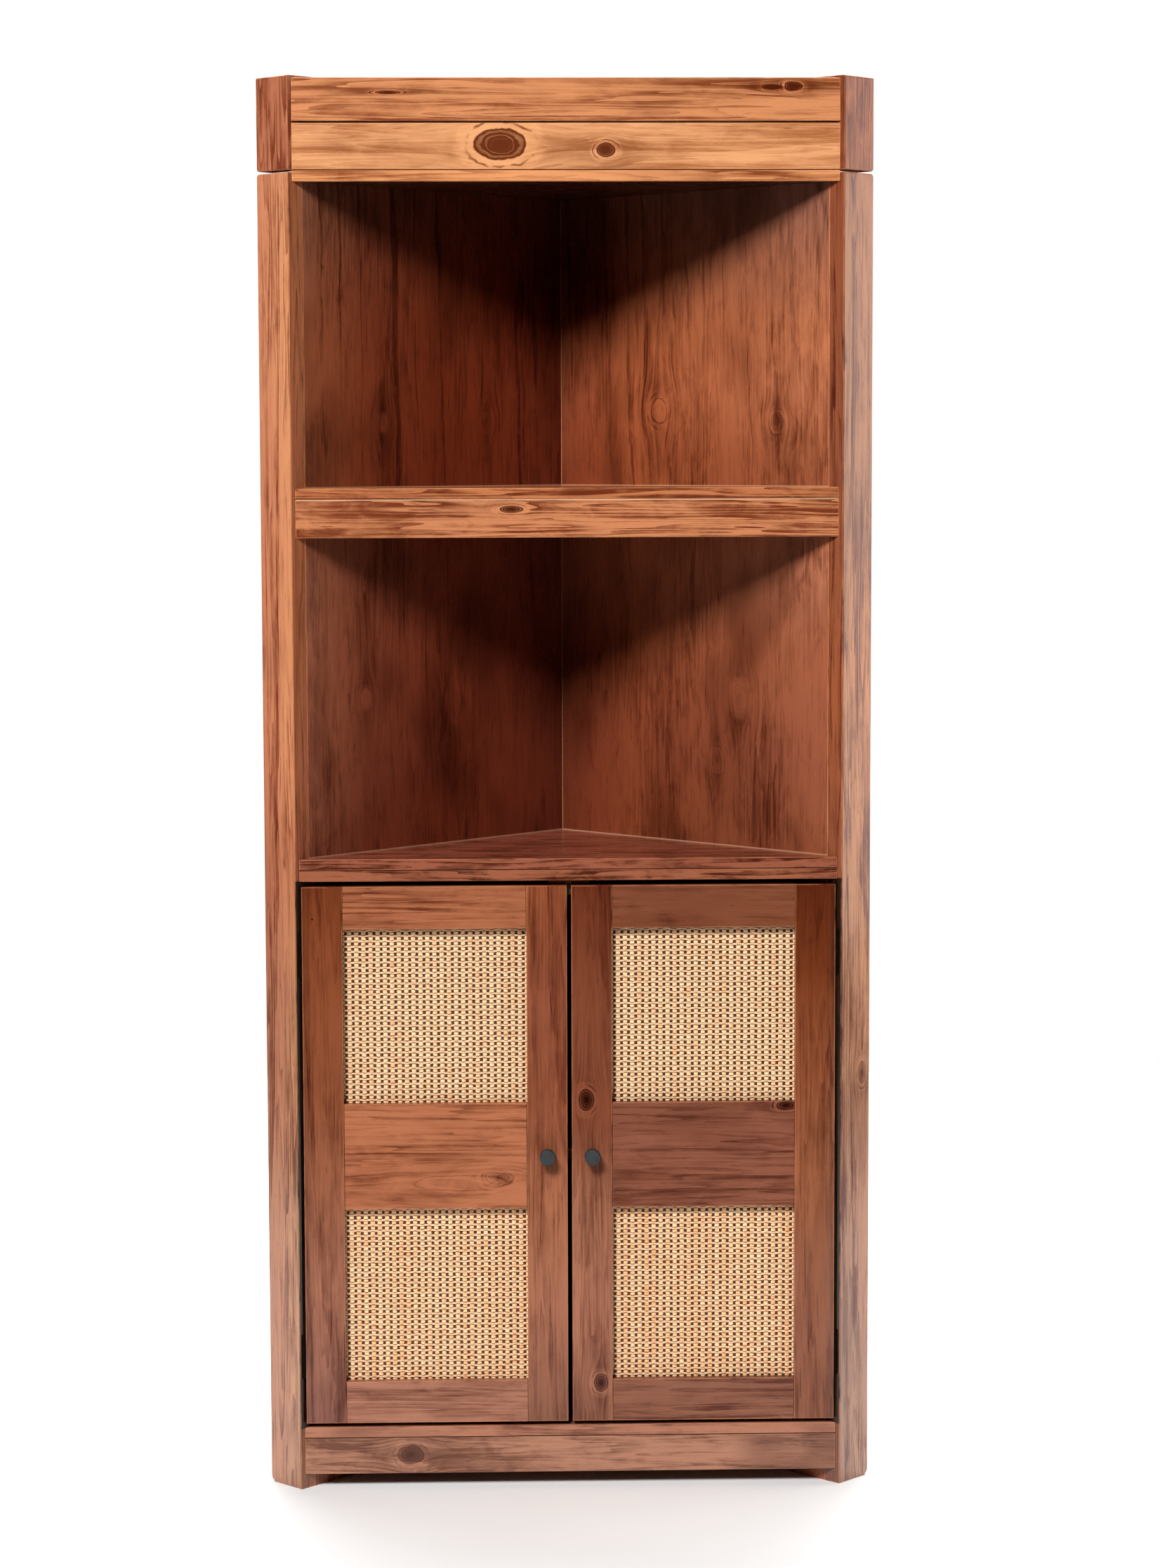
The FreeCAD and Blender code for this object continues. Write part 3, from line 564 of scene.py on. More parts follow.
@dataclass(frozen=True)
class Board:
    """A wooden node: how it lies, its finish and the cut that gives its figure."""

    node: str
    lay: Lay
    finish: WoodFinish
    seed: float
    ring: float = 0.007
    pith: tuple[float, float] = (0.01, 0.09)
    lean: tuple[float, float] = (0.01, 0.03)
    wander: float = 0.012
    onset: float = 0.35
    knots: tuple[Knot, ...] = ()
    tones: Tones = even(1.0, 1.0, 1.0)
    run_tones: Tones = even(1.0, 1.0, 1.0)
    gap_span: tuple[float, float] | None = None
    line_floor: float | None = None
    lines: tuple[float, ...] = ()
    pale_seams: Point = (0.0, 0.0, 0.0)
    low_seams: Point = (0.0, 0.0, 0.0)
    high_seams: Point = (0.0, 0.0, 0.0)
    trim: Point = (0.0, 0.0, 0.0)
    room: float = 0.0

    SKIN = (0.0004, 0.0012)
    FRONT_EDGE = (0.003, 0.001)
    # Painted shade beside the doors: its reach in from the inner face, its fade at the ends and its colour.
    GAP_SIDE = (0.0016, 0.0008)
    GAP_FADE = 0.003
    GAP_TONE = (0.03, 0.03, 0.03)
    FLOOR_FADE = 0.06
    RELIEF = (0.25, 0.0006)
    COAT_ROUGHNESS = 0.1

    def measure(self) -> tuple[Vector, Vector]:
        """Return the board's middle and half size in its own directions."""
        points = [self.lay.turn @ vertex.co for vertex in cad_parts[self.node].data.vertices]
        low, high = (Vector(pick(point[axis] for point in points) for axis in range(3)) for pick in (min, max))
        return (low + high) / 2, (high - low) / 2

    def dress(self, groups: WoodGroups) -> None:
        """Give the node its own material.

        Args:
            groups: The shared wood effects.
        """
        finish = self.finish
        middle, half = self.measure()
        material, w, shader = new_material(f"wood_{self.node}")
        here = place = w.one("ShaderNodeMapping", {"Vector": w.place(), "Location": -middle,
                                                   "Rotation": self.lay.turn.to_euler()})
        dark: Feed = 0.0
        for knot in self.knots:
            bent = groups.knot.use(w, place=place, dark=dark, **asdict(knot))
            place, dark = bent.place, bent.dark
        cut = shared(self, groups.grain) | {"pith": (0.0, *self.pith), "lean": (0.0, *self.lean)}
        grain = groups.grain.use(w, place=place, **cut)
        edges = {"place": here, "half": half - Vector(self.trim)}
        # Worn arrises: real wear with painted highlight.
        wear = groups.wear.use(w, width=finish.wear_width, **edges).wear
        seam = groups.seam.use(w, low=self.low_seams, high=self.high_seams, width=finish.seam_width, **edges).seam
        # glint: painted highlight along the chosen edges and, below, at the given heights.
        glint = groups.seam.use(w, high=self.pale_seams, width=finish.line_width, **edges).seam
        run, across, through = w.parts(here)
        from_front = across + half.y
        if self.lay is Lay.FLAT:
            seam = seam * from_front.step(*self.FRONT_EDGE)
        for level in self.lines:
            glint = w.math("MAXIMUM", glint, abs(run - level).step(finish.line_width, LINE_CORE))
        # shade: the tones across and along the board, partly the wood's own tone and partly painted light and shade.
        shade = w.ramp(from_front / (2 * half.y), self.tones)
        if len(self.run_tones) > 1:
            shade = w.tinted(shade, w.ramp((run + half.x) / (2 * half.x), self.run_tones))
        # Painted shade: the post's inner face is darkened beside the doors, so the gaps read dark.
        if self.gap_span:
            foot, head = self.gap_span
            gap_shade_band = run.band((head + self.GAP_FADE, head), (foot - self.GAP_FADE, foot))
            shade = w.mix(from_front.step(*self.GAP_SIDE) * gap_shade_band, shade, self.GAP_TONE)
        # The painted glint and painted shade stay on the face towards the room; the other face takes one plain tone.
        if self.room:
            within = (through * self.room + half.z).step(*self.SKIN)
            glint = glint * within
            shade = w.mix(within, OUTSIDE_TONE, shade)
        if self.line_floor is not None:
            rise = run.step(self.line_floor - self.FLOOR_FADE, self.line_floor + self.FLOOR_FADE)
            grain.late = grain.late * (rise * 0.7 + 0.3)
        stain = groups.stain.use(w, dark=dark, wear=wear, seam=seam, shade=shade, glint=glint, **vars(grain),
                                 **shared(finish, groups.stain))
        w.fill(shader, {"Base Color": stain.colour, "Roughness": stain.rough,
                        "Normal": w.bump(*self.RELIEF, stain.height), "Specular IOR Level": finish.sheen,
                        "Coat Weight": finish.coat, "Coat Roughness": self.COAT_ROUGHNESS})
        give_material(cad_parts[self.node], material)
        log.info("board %s: %s, %d knots", self.node, finish.slot, len(self.knots))


@dataclass(frozen=True)
class PlainFinish:
    """A metal or plastic finish with cloudy tone, fine grain and rubbed patches."""

    name: str
    tone: Colour
    second: Colour
    metallic: float
    rough: float
    spread: float = 0.24
    clouds: float = 140.0
    grain: float = 900.0

    RELIEF = (0.2, 0.0003)

    @cache
    def material(self) -> bpy.types.Material:
        """Return the finish's material, made once."""
        material, w, shader = new_material(f"{self.name}_finish")
        place = w.place()
        cloud = w.noise(place * self.clouds, 3.0)
        fine = w.noise(place * self.grain)
        w.fill(shader, {"Base Color": w.mix(cloud.step(0.3, 0.7), self.tone, self.second),
                        "Roughness": fine * self.spread + (self.rough - self.spread / 2),
                        "Normal": w.bump(*self.RELIEF, fine), "Metallic": self.metallic})
        return material


@dataclass(frozen=True)
class CaneFinish:
    """Split cane: pale strands of uneven tone with fine lines along them."""

    pale: Colour = (1.0, 0.71, 0.42)
    honey: Colour = (0.94, 0.42, 0.17)
    pick: Colour = (1.0, 0.78, 0.52)
    joint: Colour = (0.34, 0.11, 0.03)
    behind: Colour = (0.12, 0.037, 0.008)
    fade: tuple[float, float] = (0.5, 0.4)
    patches: Point = (110.0, 110.0, 140.0)
    lines: Point = (2600.0, 2600.0, 60.0)
    sheen: float = 0.2

    @cache
    def material(self) -> bpy.types.Material:
        """Return the cane's material, made once; it reads the strand attributes of the weave."""
        material, w, shader = new_material("woven_cane")
        chance, pick, dip = (w.one("ShaderNodeAttribute", output="Fac", attribute_name=name)
                             for name in (WovenPanel.CHANCE, WovenPanel.PICK, WovenPanel.DIP))
        place = w.place()
        lines = w.noise(place * self.lines)
        # Darker and more honey-coloured towards the bottom.
        low = w.parts(place)[2].step(*self.fade)
        share = (chance * 0.35 + (w.noise(place * self.patches) * 1.9 - 0.95) + (lines * 0.4 - 0.2) + low * 0.22)
        cane = w.mix(share.step(0.0, 1.0), self.pale, self.honey)
        cane = w.mix(pick * 0.8, cane, self.pick)
        # Painted shade where the picks cross the strands and along the strands' edges.
        cane = w.mix(dip.step(0.08, 0.5) * 0.85, cane, self.joint)
        # Painted shade in the holes: the backing strips take a near-black brown.
        w.fill(shader, {"Base Color": w.mix(dip.step(1.2, 1.8), cane, self.behind), "Roughness": lines * 0.2 + 0.4,
                        "Specular IOR Level": self.sheen})
        return material


class NodeTool(Tree):
    """A Geometry Nodes tree whose result is turned into a plain mesh."""

    def __init__(self, name: str, inputs: str) -> None:
        """Make an empty tree from the words of the inputs that follow the geometry."""
        super().__init__(name, "GeometryNodeTree", f"Geometry:geometry {inputs}", "Geometry:geometry")

    def node(self, kind: str, values: dict[str, object], output: str | int = 0, **settings: object) -> Signal:
        """Add a geometry node, named without its common prefix, and return one of its outputs."""
        return self.one(f"GeometryNode{kind}", values, output, **settings)

    def mark(self, geometry: Signal, name: str, value: Feed, domain: str = "POINT") -> Signal:
        """Store a number on a geometry under a name and return the geometry."""
        return self.node("StoreNamedAttribute", {"Geometry": geometry, "Name": name, "Value": value},
                         data_type="FLOAT", domain=domain)

    def row(self, count: Feed, start: Signal, step: Signal) -> Signal:
        """Return points in a row."""
        return self.node("MeshLine", {"Count": count, "Start Location": start, "Offset": step})

    def close(self, *geometries: Signal) -> None:
        """End the tree: join, realize, smooth and set the finish."""
        joined = self.add("GeometryNodeJoinGeometry")
        for geometry in geometries:
            self.feed(joined.inputs[0], geometry)
        real = self.node("RealizeInstances", {"Geometry": joined.outputs[0]})
        smooth = self.node("SetShadeSmooth", {"Geometry": real})
        self.give(Geometry=self.node("SetMaterial", {"Geometry": smooth, "Material": self.source.finish}))

    def mesh(self, name: str, base: bpy.types.Mesh, values: dict[str, object]) -> bpy.types.Mesh:
        """Evaluate the tree on a base mesh.

        Args:
            name: The name of the result.
            base: The mesh that enters the tree.
            values: The inputs' values by name.

        Returns:
            The result as a plain mesh.
        """
        holder = link(bpy.data.objects.new(f"{name}_holder", base))
        modifier = holder.modifiers.new("Tool", "NODES")
        modifier.node_group = self.tree
        for label, value in values.items():
            modifier[self.identifiers[label]] = value
        graph = bpy.context.evaluated_depsgraph_get()
        result = bpy.data.meshes.new_from_object(holder.evaluated_get(graph))
        result.name = name
        holder.modifiers.remove(modifier)
        bpy.data.objects.remove(holder)
        return result


@dataclass(frozen=True)
class WovenPanel:
    """A panel of woven cane: broad upright strands bound by pairs of thin level picks."""

    node: str
    body: str
    seed: float
    columns: int = 27
    rows: int = 34
    column_pitch: float = 0.00958
    row_pitch: float = 0.00722
    strand_half: float = 0.0032
    strand_depth: float = 0.00105
    pinch: float = 0.3
    pick_radius: float = 0.00075
    pick_swing: float = 0.0005
    pick_spread: float = 0.00074
    unevenness: float = 0.0025

    CHANCE = "strand_chance"
    PICK = "is_pick"
    DIP = "strand_dip"
    BEHIND = 2.0
    STRIP_SHARE = 1.7
    STRAND_SIDES, STRAND_STEPS = 8, 6.0
    PICK_SIDES, PICK_STEPS = 5, 4.0
    DRIFT_TURNS = (130.0, 0.0, 130.0)
    IN_PLANE = (1.0, 0.0, 1.0)

    @classmethod
    def tool(cls) -> NodeTool:
        """Build the tree that weaves a panel round the origin, upright and facing the front."""
        tool = NodeTool("WovenCane", "columns:int rows:int column_pitch row_pitch strand_half strand_depth pinch "
                        "pick_radius pick_swing pick_spread unevenness seed finish:material")
        picks = [cls._picks(tool, sign) for sign in (1.0, -1.0)]
        tool.close(cls._strands(tool), cls._backing(tool), *picks)
        return tool

    @staticmethod
    def _tube(tool: NodeTool, sides: int, steps: Feed, length: Feed) -> tuple[Signal, tuple[Signal, ...]]:
        """Add an open tube of radius 1 and return it with the parts of the position on it."""
        tube = tool.node("MeshCylinder", {"Vertices": sides, "Side Segments": steps, "Radius": 1.0, "Depth": length},
                         fill_type="NONE")
        return tube, tool.parts(tool.node("InputPosition", {}))

    @classmethod
    def _uprights(cls, tool: NodeTool, count: Feed, depth: Feed, shape: Signal) -> Signal:
        """Repeat an upright shape across the panel at a depth."""
        pitch = tool.source.column_pitch
        start = (count - 1.0) * (pitch * -0.5)
        row = tool.row(count, tool.joined(start, depth, 0.0), tool.joined(pitch, 0.0, 0.0))
        return cls._spread(tool, row, shape, 0.0)

    @classmethod
    def _backing(cls, tool: NodeTool) -> Signal:
        """Add the second layer: thin flat strips behind the gaps between the strands, coloured near-black as painted
        shade in the holes.
        """
        s = tool.source
        strip = tool.node("MeshGrid", {"Size X": s.strand_half * cls.STRIP_SHARE, "Vertices X": 2,
                                       "Size Y": s.rows * s.row_pitch, "Vertices Y": 2})
        upright = tool.node("Transform", {"Geometry": strip, "Rotation": (math.pi / 2, 0.0, 0.0)})
        return cls._uprights(tool, s.columns - 1.0, s.strand_depth, tool.mark(upright, cls.DIP, cls.BEHIND))

    @classmethod
    def _strands(cls, tool: NodeTool) -> Signal:
        """Add the upright strands: flat tubes, narrowed and thinned where the picks cross them."""
        s = tool.source
        tube, (x, y, z) = cls._tube(tool, cls.STRAND_SIDES, s.rows * cls.STRAND_STEPS, s.rows * s.row_pitch)
        crossing = tool.math("POWER", abs(tool.math("COSINE", z * math.pi / s.row_pitch)), 3.0)
        narrow = tool.math("SUBTRACT", 1.0, crossing * s.pinch)
        thin = crossing * -0.66 + 1.0
        # side and crossing also feed the dip mark below: painted shade along the strands' edges and where the picks
        # cross.
        side = tool.math("POWER", abs(x), 4.0) * 0.42
        flat = tool.math("SIGN", x) * tool.math("POWER", abs(x), 0.75)
        shaped = tool.node("SetPosition", {
            "Geometry": tool.mark(tube, cls.DIP, tool.math("MAXIMUM", crossing, side)),
            "Position": tool.joined(flat * (s.strand_half * narrow), y * (s.strand_depth * thin), z)})
        return cls._uprights(tool, s.columns, 0.0, shaped)

    @classmethod
    def _picks(cls, tool: NodeTool, sign: float) -> Signal:
        """Add one of each pair of picks, which passes in front of every second strand.

        Args:
            tool: The tree to add to.
            sign: Which one of the pair.

        Returns:
            The picks' geometry.
        """
        s = tool.source
        tube, (x, y, z) = cls._tube(tool, cls.PICK_SIDES, s.columns * cls.PICK_STEPS, s.columns * s.column_pitch)
        wave = tool.math("COSINE", z * math.pi / s.column_pitch)
        place = tool.joined(z, y * s.pick_radius + wave * (s.pick_swing * sign), x * s.pick_radius)
        shaped = tool.node("SetPosition", {"Geometry": tube, "Position": place})
        start = s.pick_spread * sign + s.rows * s.row_pitch * -0.5
        row = tool.row(s.rows + 1.0, tool.joined(0.0, 0.0, start), tool.joined(0.0, 0.0, s.row_pitch))
        # The dip mark darkens the picks as painted shade where they pass the strands, and leaves them light across the
        # gaps.
        return cls._spread(tool, row, tool.mark(shaped, cls.DIP, wave * wave * 0.22), 1.0)

    @classmethod
    def _spread(cls, tool: NodeTool, row: Signal, shape: Signal, pick: float) -> Signal:
        """Repeat a shape at points, mark each copy and shift it unevenly.

        Args:
            tool: The tree to add to.
            row: The points to repeat at.
            shape: What to repeat.
            pick: 1 for picks and 0 for strands, as stored for the finish.

        Returns:
            The realized geometry.
        """
        s = tool.source
        copies = tool.node("InstanceOnPoints", {"Points": row, "Instance": shape})
        chance = tool.one("FunctionNodeRandomValue", {"Seed": s.seed}, 1, data_type="FLOAT")
        for name, value in ((cls.CHANCE, chance), (cls.PICK, pick)):
            copies = tool.mark(copies, name, value, "INSTANCE")
        real = tool.node("RealizeInstances", {"Geometry": copies})
        seeded = tool.node("InputPosition", {}) * cls.DRIFT_TURNS + tool.joined(s.seed, s.seed, pick)
        drift = tool.noise(seeded, output=1) - WoodGroups.HALVES
        return tool.node("SetPosition", {"Geometry": real, "Offset": drift * s.unevenness * cls.IN_PLANE})

    def weave(self, tool: NodeTool, finish: CaneFinish) -> None:
        """Make the panel in place of its node, with the weaving tree and a finish."""
        low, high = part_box(self.node)
        values = shared(self, tool) | {"finish": finish.material()}
        mesh = tool.mesh(f"{self.node}_weave", bpy.data.meshes.new("weave_base"), values)
        mesh.transform(Matrix.Translation((low + high) / 2))
        piece = link(bpy.data.objects.new(f"{self.node}_weave", mesh))
        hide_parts(self.node)
        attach(piece, self.body)
        log.info("weave %s: %d faces", piece.name, len(mesh.polygons))


@dataclass(frozen=True)
class Screw:
    """A countersunk screw: where its head lies and which way it faces."""

    place: Point
    facing: Point


@dataclass(frozen=True)
class ScrewSet:
    """Screws of one kind on one body, with crossed recesses."""

    name: str
    body: str
    slot: str
    finish: PlainFinish
    radius: float
    rise: float
    screws: tuple[Screw, ...]

    SECTORS = 24
    FACING = "facing"

    @classmethod
    def tool(cls) -> NodeTool:
        """Build the tree that puts a head at every point, turned to its facing."""
        tool = NodeTool("ScrewHeads", "head:object finish:material")
        facing = tool.node("InputNamedAttribute", {"Name": cls.FACING}, data_type="FLOAT_VECTOR")
        turn = tool.one("FunctionNodeAlignRotationToVector", {"Vector": facing}, axis="Z")
        head = tool.node("ObjectInfo", {"Object": tool.source.head}, "Geometry")
        copies = tool.node("InstanceOnPoints", {"Points": tool.source.Geometry, "Instance": head, "Rotation": turn})
        tool.close(copies)
        return tool

    def _head(self) -> bpy.types.Object:
        """Make one head: a low rim, a flat top and a crossed recess."""
        mesh = bmesh.new()
        arm, slot_half, floor = self.radius * 0.6, self.radius * 0.17, self.rise * 0.15
        rings = []
        for sector in range(self.SECTORS):
            angle = 2 * math.pi * sector / self.SECTORS
            cosine, sine = math.cos(angle), math.sin(angle)
            narrow = max(min(abs(cosine), abs(sine)), 1e-6)
            inner = min(arm, slot_half / narrow)
            profile = ((self.radius, 0.0), (self.radius * 0.88, self.rise), (inner, self.rise), (inner * 0.8, floor))
            rings.append([mesh.verts.new((r * cosine, r * sine, z)) for r, z in profile])
        middle = mesh.verts.new((0.0, 0.0, floor))
        for here, there in zip(rings, rings[1:] + rings[:1]):
            for step in range(3):
                mesh.faces.new((here[step], there[step], there[step + 1], here[step + 1]))
            mesh.faces.new((here[3], there[3], middle))
        data = bpy.data.meshes.new(f"{self.name}_head")
        mesh.to_mesh(data)
        mesh.free()
        return link(bpy.data.objects.new(f"{self.name}_head", data))

    def drive(self, tool: NodeTool) -> None:
        """Make the whole set as one piece that rides on its body."""
        base = bpy.data.meshes.new(f"{self.name}_points")
        base.from_pydata([screw.place for screw in self.screws], [], [])
        facing = base.attributes.new(self.FACING, "FLOAT_VECTOR", "POINT")
        for entry, screw in zip(facing.data, self.screws):
            entry.vector = screw.facing
        head = self._head()
        mesh = tool.mesh(self.name, base, {"head": head, "finish": self.finish.material()})
        bpy.data.objects.remove(head)
        piece = link(bpy.data.objects.new(self.name, mesh))
        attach(piece, self.body)
        log.info("screws %s: %d", self.name, len(self.screws))


FRONT_WOOD = WoodFinish("carcass_wood", pale=(0.64, 0.256, 0.108), deep=(0.225, 0.052, 0.0135), line=0.5,
                        streaking=1.0, mottling=1.0, blotching=1.8, veining=0.7)
CROWN_WOOD = WoodFinish("carcass_wood", pale=(0.8, 0.35, 0.148), deep=(0.38, 0.115, 0.034), line=0.45, streaking=0.7,
                        mottling=0.9, blotching=1.5, veining=0.35)
EDGE_WOOD = WoodFinish("carcass_wood", pale=(0.66, 0.275, 0.115), deep=(0.2, 0.043, 0.012), line=0.5, streaking=1.4,
                       mottling=1.7, blotching=1.8, veining=1.1, line_width=0.0022)
POST_WOOD = WoodFinish("carcass_wood", pale=(0.66, 0.27, 0.122), deep=(0.2, 0.044, 0.015), line=0.5, streaking=1.4,
                       sheen=0.5, mottling=1.0, blotching=1.6, veining=0.7)
RETURN_WOOD = WoodFinish("carcass_wood", pale=(0.6, 0.235, 0.105), deep=(0.24, 0.06, 0.021), line=0.6, streaking=2.6,
                         sheen=0.4, mottling=2.0, blotching=2.2, veining=1.0)
SHELF_WOOD = WoodFinish("carcass_wood", pale=(0.48, 0.173, 0.075), deep=(0.1, 0.021, 0.007), line=0.45, mottling=2.8,
                        streaking=2.6, veining=1.1, sheen=0.15)
PANEL_WOOD = WoodFinish("panel_wood", pale=(0.52, 0.17, 0.066), deep=(0.13, 0.026, 0.008), line=0.5, blotching=1.5,
                        streaking=0.7, clouding=0.6, veining=0.4)
DOOR_WOOD = WoodFinish("door_wood", pale=(0.46, 0.168, 0.073), deep=(0.12, 0.025, 0.009), line=0.4, clouding=0.35,
                       streaking=0.8, mottling=0.7, blotching=1.1, veining=0.35, sheen=0.12)
RAIL_WOOD = WoodFinish("door_wood", pale=(0.52, 0.194, 0.084), deep=(0.145, 0.032, 0.011), line=0.4, clouding=0.35,
                       streaking=1.2, mottling=1.0, blotching=1.6, veining=0.5, sheen=0.12, seam_width=0.0014)
PLINTH_WOOD = WoodFinish("carcass_wood", pale=(0.4, 0.18, 0.108), deep=(0.145, 0.05, 0.026), line=0.42, clouding=0.7,
                         mottling=2.0, blotching=2.2)

BLACK_IRON = PlainFinish("black_iron", (0.022, 0.026, 0.028), (0.034, 0.038, 0.04), 0.2, 0.5)
DARK_STEEL = PlainFinish("dark_steel", (0.008, 0.006, 0.005), (0.012, 0.009, 0.008), 1.0, 0.7)
BRIGHT_STEEL = PlainFinish("bright_steel", (0.55, 0.55, 0.53), (0.68, 0.67, 0.63), 1.0, 0.35)
CATCH_PLASTIC = PlainFinish("catch_plastic", (0.10, 0.055, 0.035), (0.12, 0.07, 0.045), 0.0, 0.5)
MAGNET = PlainFinish("magnet", (0.20, 0.20, 0.21), (0.28, 0.28, 0.29), 0.9, 0.45)


@dataclass(frozen=True)
class SideFrame:
    """A side's own directions: along its panel from the post's front arris, and outwards through it."""

    side: Side
    arris_across: float = 0.367
    arris_along: float = -0.185107

    def at(self, along: float, outward: float, height: float) -> Point:
        """Return a point of the row frame from a side's own distances."""
        share = HALF_TURN_SHARE
        across = self.arris_across - (along - outward) * share
        return self.side.value * across, self.arris_along + (along + outward) * share, height

    @property
    def outward(self) -> Point:
        """The direction out through the side's panel."""
        return self.side.value * HALF_TURN_SHARE, HALF_TURN_SHARE, 0.0


class Carcass:
    """Everything that stands still: crown, posts, panels, shelves and the screws behind them."""

    PANEL_THICKNESS = 0.015
    SCREW_LEVELS = (0.0775, 0.8555, 1.3515, 1.7695)
    SCREW_REACHES = (0.08, 0.26, 0.44)
    SCREW_HEAD = (0.004, 0.0006)

    def boards(self) -> tuple[Board, ...]:
        """Return the carcass's boards with their cuts and knots."""
        # Posts: painted shade on the inner faces beside the doors. Side panels: painted highlight lines at the shelf
        # joints.
        post = {"gap_span": DOOR_GAP_SHADE, "ring": 0.011, "pith": (0.03, 0.07), "lean": (0.004, 0.012)}
        panel = {"lines": PANEL_GLINT_LEVELS, "line_floor": 0.37, "ring": 0.036, "wander": 0.035, "onset": 0.78}
        return (
            Board("crown_upper_board", Lay.LEVEL_FRONT, FRONT_WOOD, 1.3, 0.016, (-0.05, 0.05), (0.03, 0.02),
                  tones=even(0.99, 0.97, 0.93), low_seams=ACROSS,
                  knots=(Knot(0.272, 0.016, 0.0036, 3.6, 1.5, 0.9), Knot(0.3, 0.017, 0.005, 2.4, 1.6, 1.0),
                         Knot(-0.235, 0.009, 0.0024, 7.0, 1.4, 0.9))),
            Board("crown_lower_board", Lay.LEVEL_FRONT, CROWN_WOOD, 2.1, 0.016, (0.03, 0.06), (0.02, -0.03),
                  tones=even(0.99, 1.04, 1.07), low_seams=ACROSS, high_seams=ACROSS,
                  knots=(Knot(-0.087, 0.002, 0.021, 1.6, 1.75), Knot(0.052, -0.005, 0.0095, 1.3, 1.8))),
            Board("roof_board", Lay.FLAT, FRONT_WOOD, 3.7, 0.012, tones=ROOF_SHADED_ACROSS, room=-1.0, high_seams=THROUGH),
            Board("middle_shelf_board", Lay.FLAT, EDGE_WOOD, 4.4, 0.012, (-0.2, 0.05),
                  tones=even(0.77, 0.63, 0.58), low_seams=THROUGH),
            Board("middle_shelf_apron", Lay.LEVEL_FRONT, EDGE_WOOD, 5.2, 0.013, (0.03, 0.05), (-0.03, 0.02),
                  tones=even(0.88, 0.8, 0.82), pale_seams=ACROSS, knots=(Knot(-0.075, 0.012, 0.005, 3.0),)),
            Board("counter_board", Lay.FLAT, SHELF_WOOD, 6.9, 0.014, (-0.1, 0.06), tones=COUNTER_ACROSS,
                  low_seams=THROUGH),
            Board("counter_edge_strip", Lay.LEVEL_FRONT, SHELF_WOOD, 7.7, tones=even(0.66, 0.585, 0.68),
                  high_seams=ACROSS),
            Board("bottom_board", Lay.FLAT, PLINTH_WOOD, 8.3, 0.012, tones=even(0.98, 0.88, 0.84), low_seams=THROUGH),
            Board("plinth_rail", Lay.LEVEL_FRONT, PLINTH_WOOD, 9.1, 0.011, (0.02, 0.05), high_seams=ACROSS,
                  knots=(Knot(-0.218, 0.0, 0.013, 1.35, 0.85, 0.5),)),
            Board("inner_shelf", Lay.FLAT, SHELF_WOOD, 10.6, 0.012),
            Board("catch_block", Lay.LEVEL_FRONT, SHELF_WOOD, 11.2),
            Board("left_post", Lay.RIGHT_WALL, POST_WOOD, 12.5, run_tones=LEFT_POST_LIGHT_FALL, tones=LEFT_POST_ACROSS,
                  **post),
            Board("right_post", Lay.LEFT_WALL, POST_WOOD, 13.8, run_tones=RIGHT_POST_LIGHT_FALL, tones=RIGHT_POST_ACROSS,
                  knots=(Knot(-0.324, 0.015, 0.009, 1.7, 0.7),), **post),
            Board("left_crown_return", Lay.RIGHT_WALL, RETURN_WOOD, 14.6, 0.01, tones=even(0.84, 0.73, 0.81)),
            Board("right_crown_return", Lay.LEFT_WALL, RETURN_WOOD, 15.4, 0.01, tones=RIGHT_RETURN_ACROSS),
            Board("left_side_panel", Lay.LEFT_WALL, PANEL_WOOD, 16.2, tones=LEFT_PANEL_CORNER_SHADE,
                  run_tones=LEFT_PANEL_SHADE_FALL, room=-1.0, pith=(0.55, 0.2), lean=(0.02, 0.05), **panel,
                  knots=(Knot(0.496, -0.111, 0.011, 1.3, -0.2, 0.8), Knot(0.498, 0.088, 0.01, 1.3, 0.4, 0.7),
                         Knot(0.124, -0.147, 0.012, 1.3, -0.5, 0.8), Knot(0.049, 0.01, 0.008, 1.4, 0.2, 0.5))),
            Board("right_side_panel", Lay.RIGHT_WALL, PANEL_WOOD, 17.9, tones=RIGHT_PANEL_CORNER_SHADE,
                  run_tones=RIGHT_PANEL_SHADE_FALL, room=1.0, pith=(-0.55, 0.2), lean=(-0.02, 0.05), **panel,
                  pale_seams=ACROSS,
                  knots=(Knot(0.513, 0.058, 0.015, 1.2, -0.6, 0.45), Knot(0.496, -0.157, 0.011, 1.2, 0.6, 0.7),
                         Knot(0.12, -0.09, 0.016, 1.6, 0.2, 0.7), Knot(0.03, -0.05, 0.01, 1.6, 0.5, 0.8))),
        )

    def back_screws(self, side: Side) -> ScrewSet:
        """Return the screws that hold the shelves, on the hidden face of a side's panel."""
        spot = SideFrame(side)
        screws = tuple(Screw(spot.at(reach, self.PANEL_THICKNESS, level), spot.outward)
                       for level in self.SCREW_LEVELS for reach in self.SCREW_REACHES)
        return ScrewSet(f"{side.label}_panel_screws", "carcass", "bright_steel", BRIGHT_STEEL, *self.SCREW_HEAD, screws)

    def build(self, groups: WoodGroups, screw_tool: NodeTool) -> None:
        """Dress the boards and drive the screws.

        Args:
            groups: The shared wood effects.
            screw_tool: The tree that makes screw heads.
        """
        for board in self.boards():
            board.dress(groups)
        give_material(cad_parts["shelf_pins"], BRIGHT_STEEL.material())
        for side in Side:
            self.back_screws(side).drive(screw_tool)


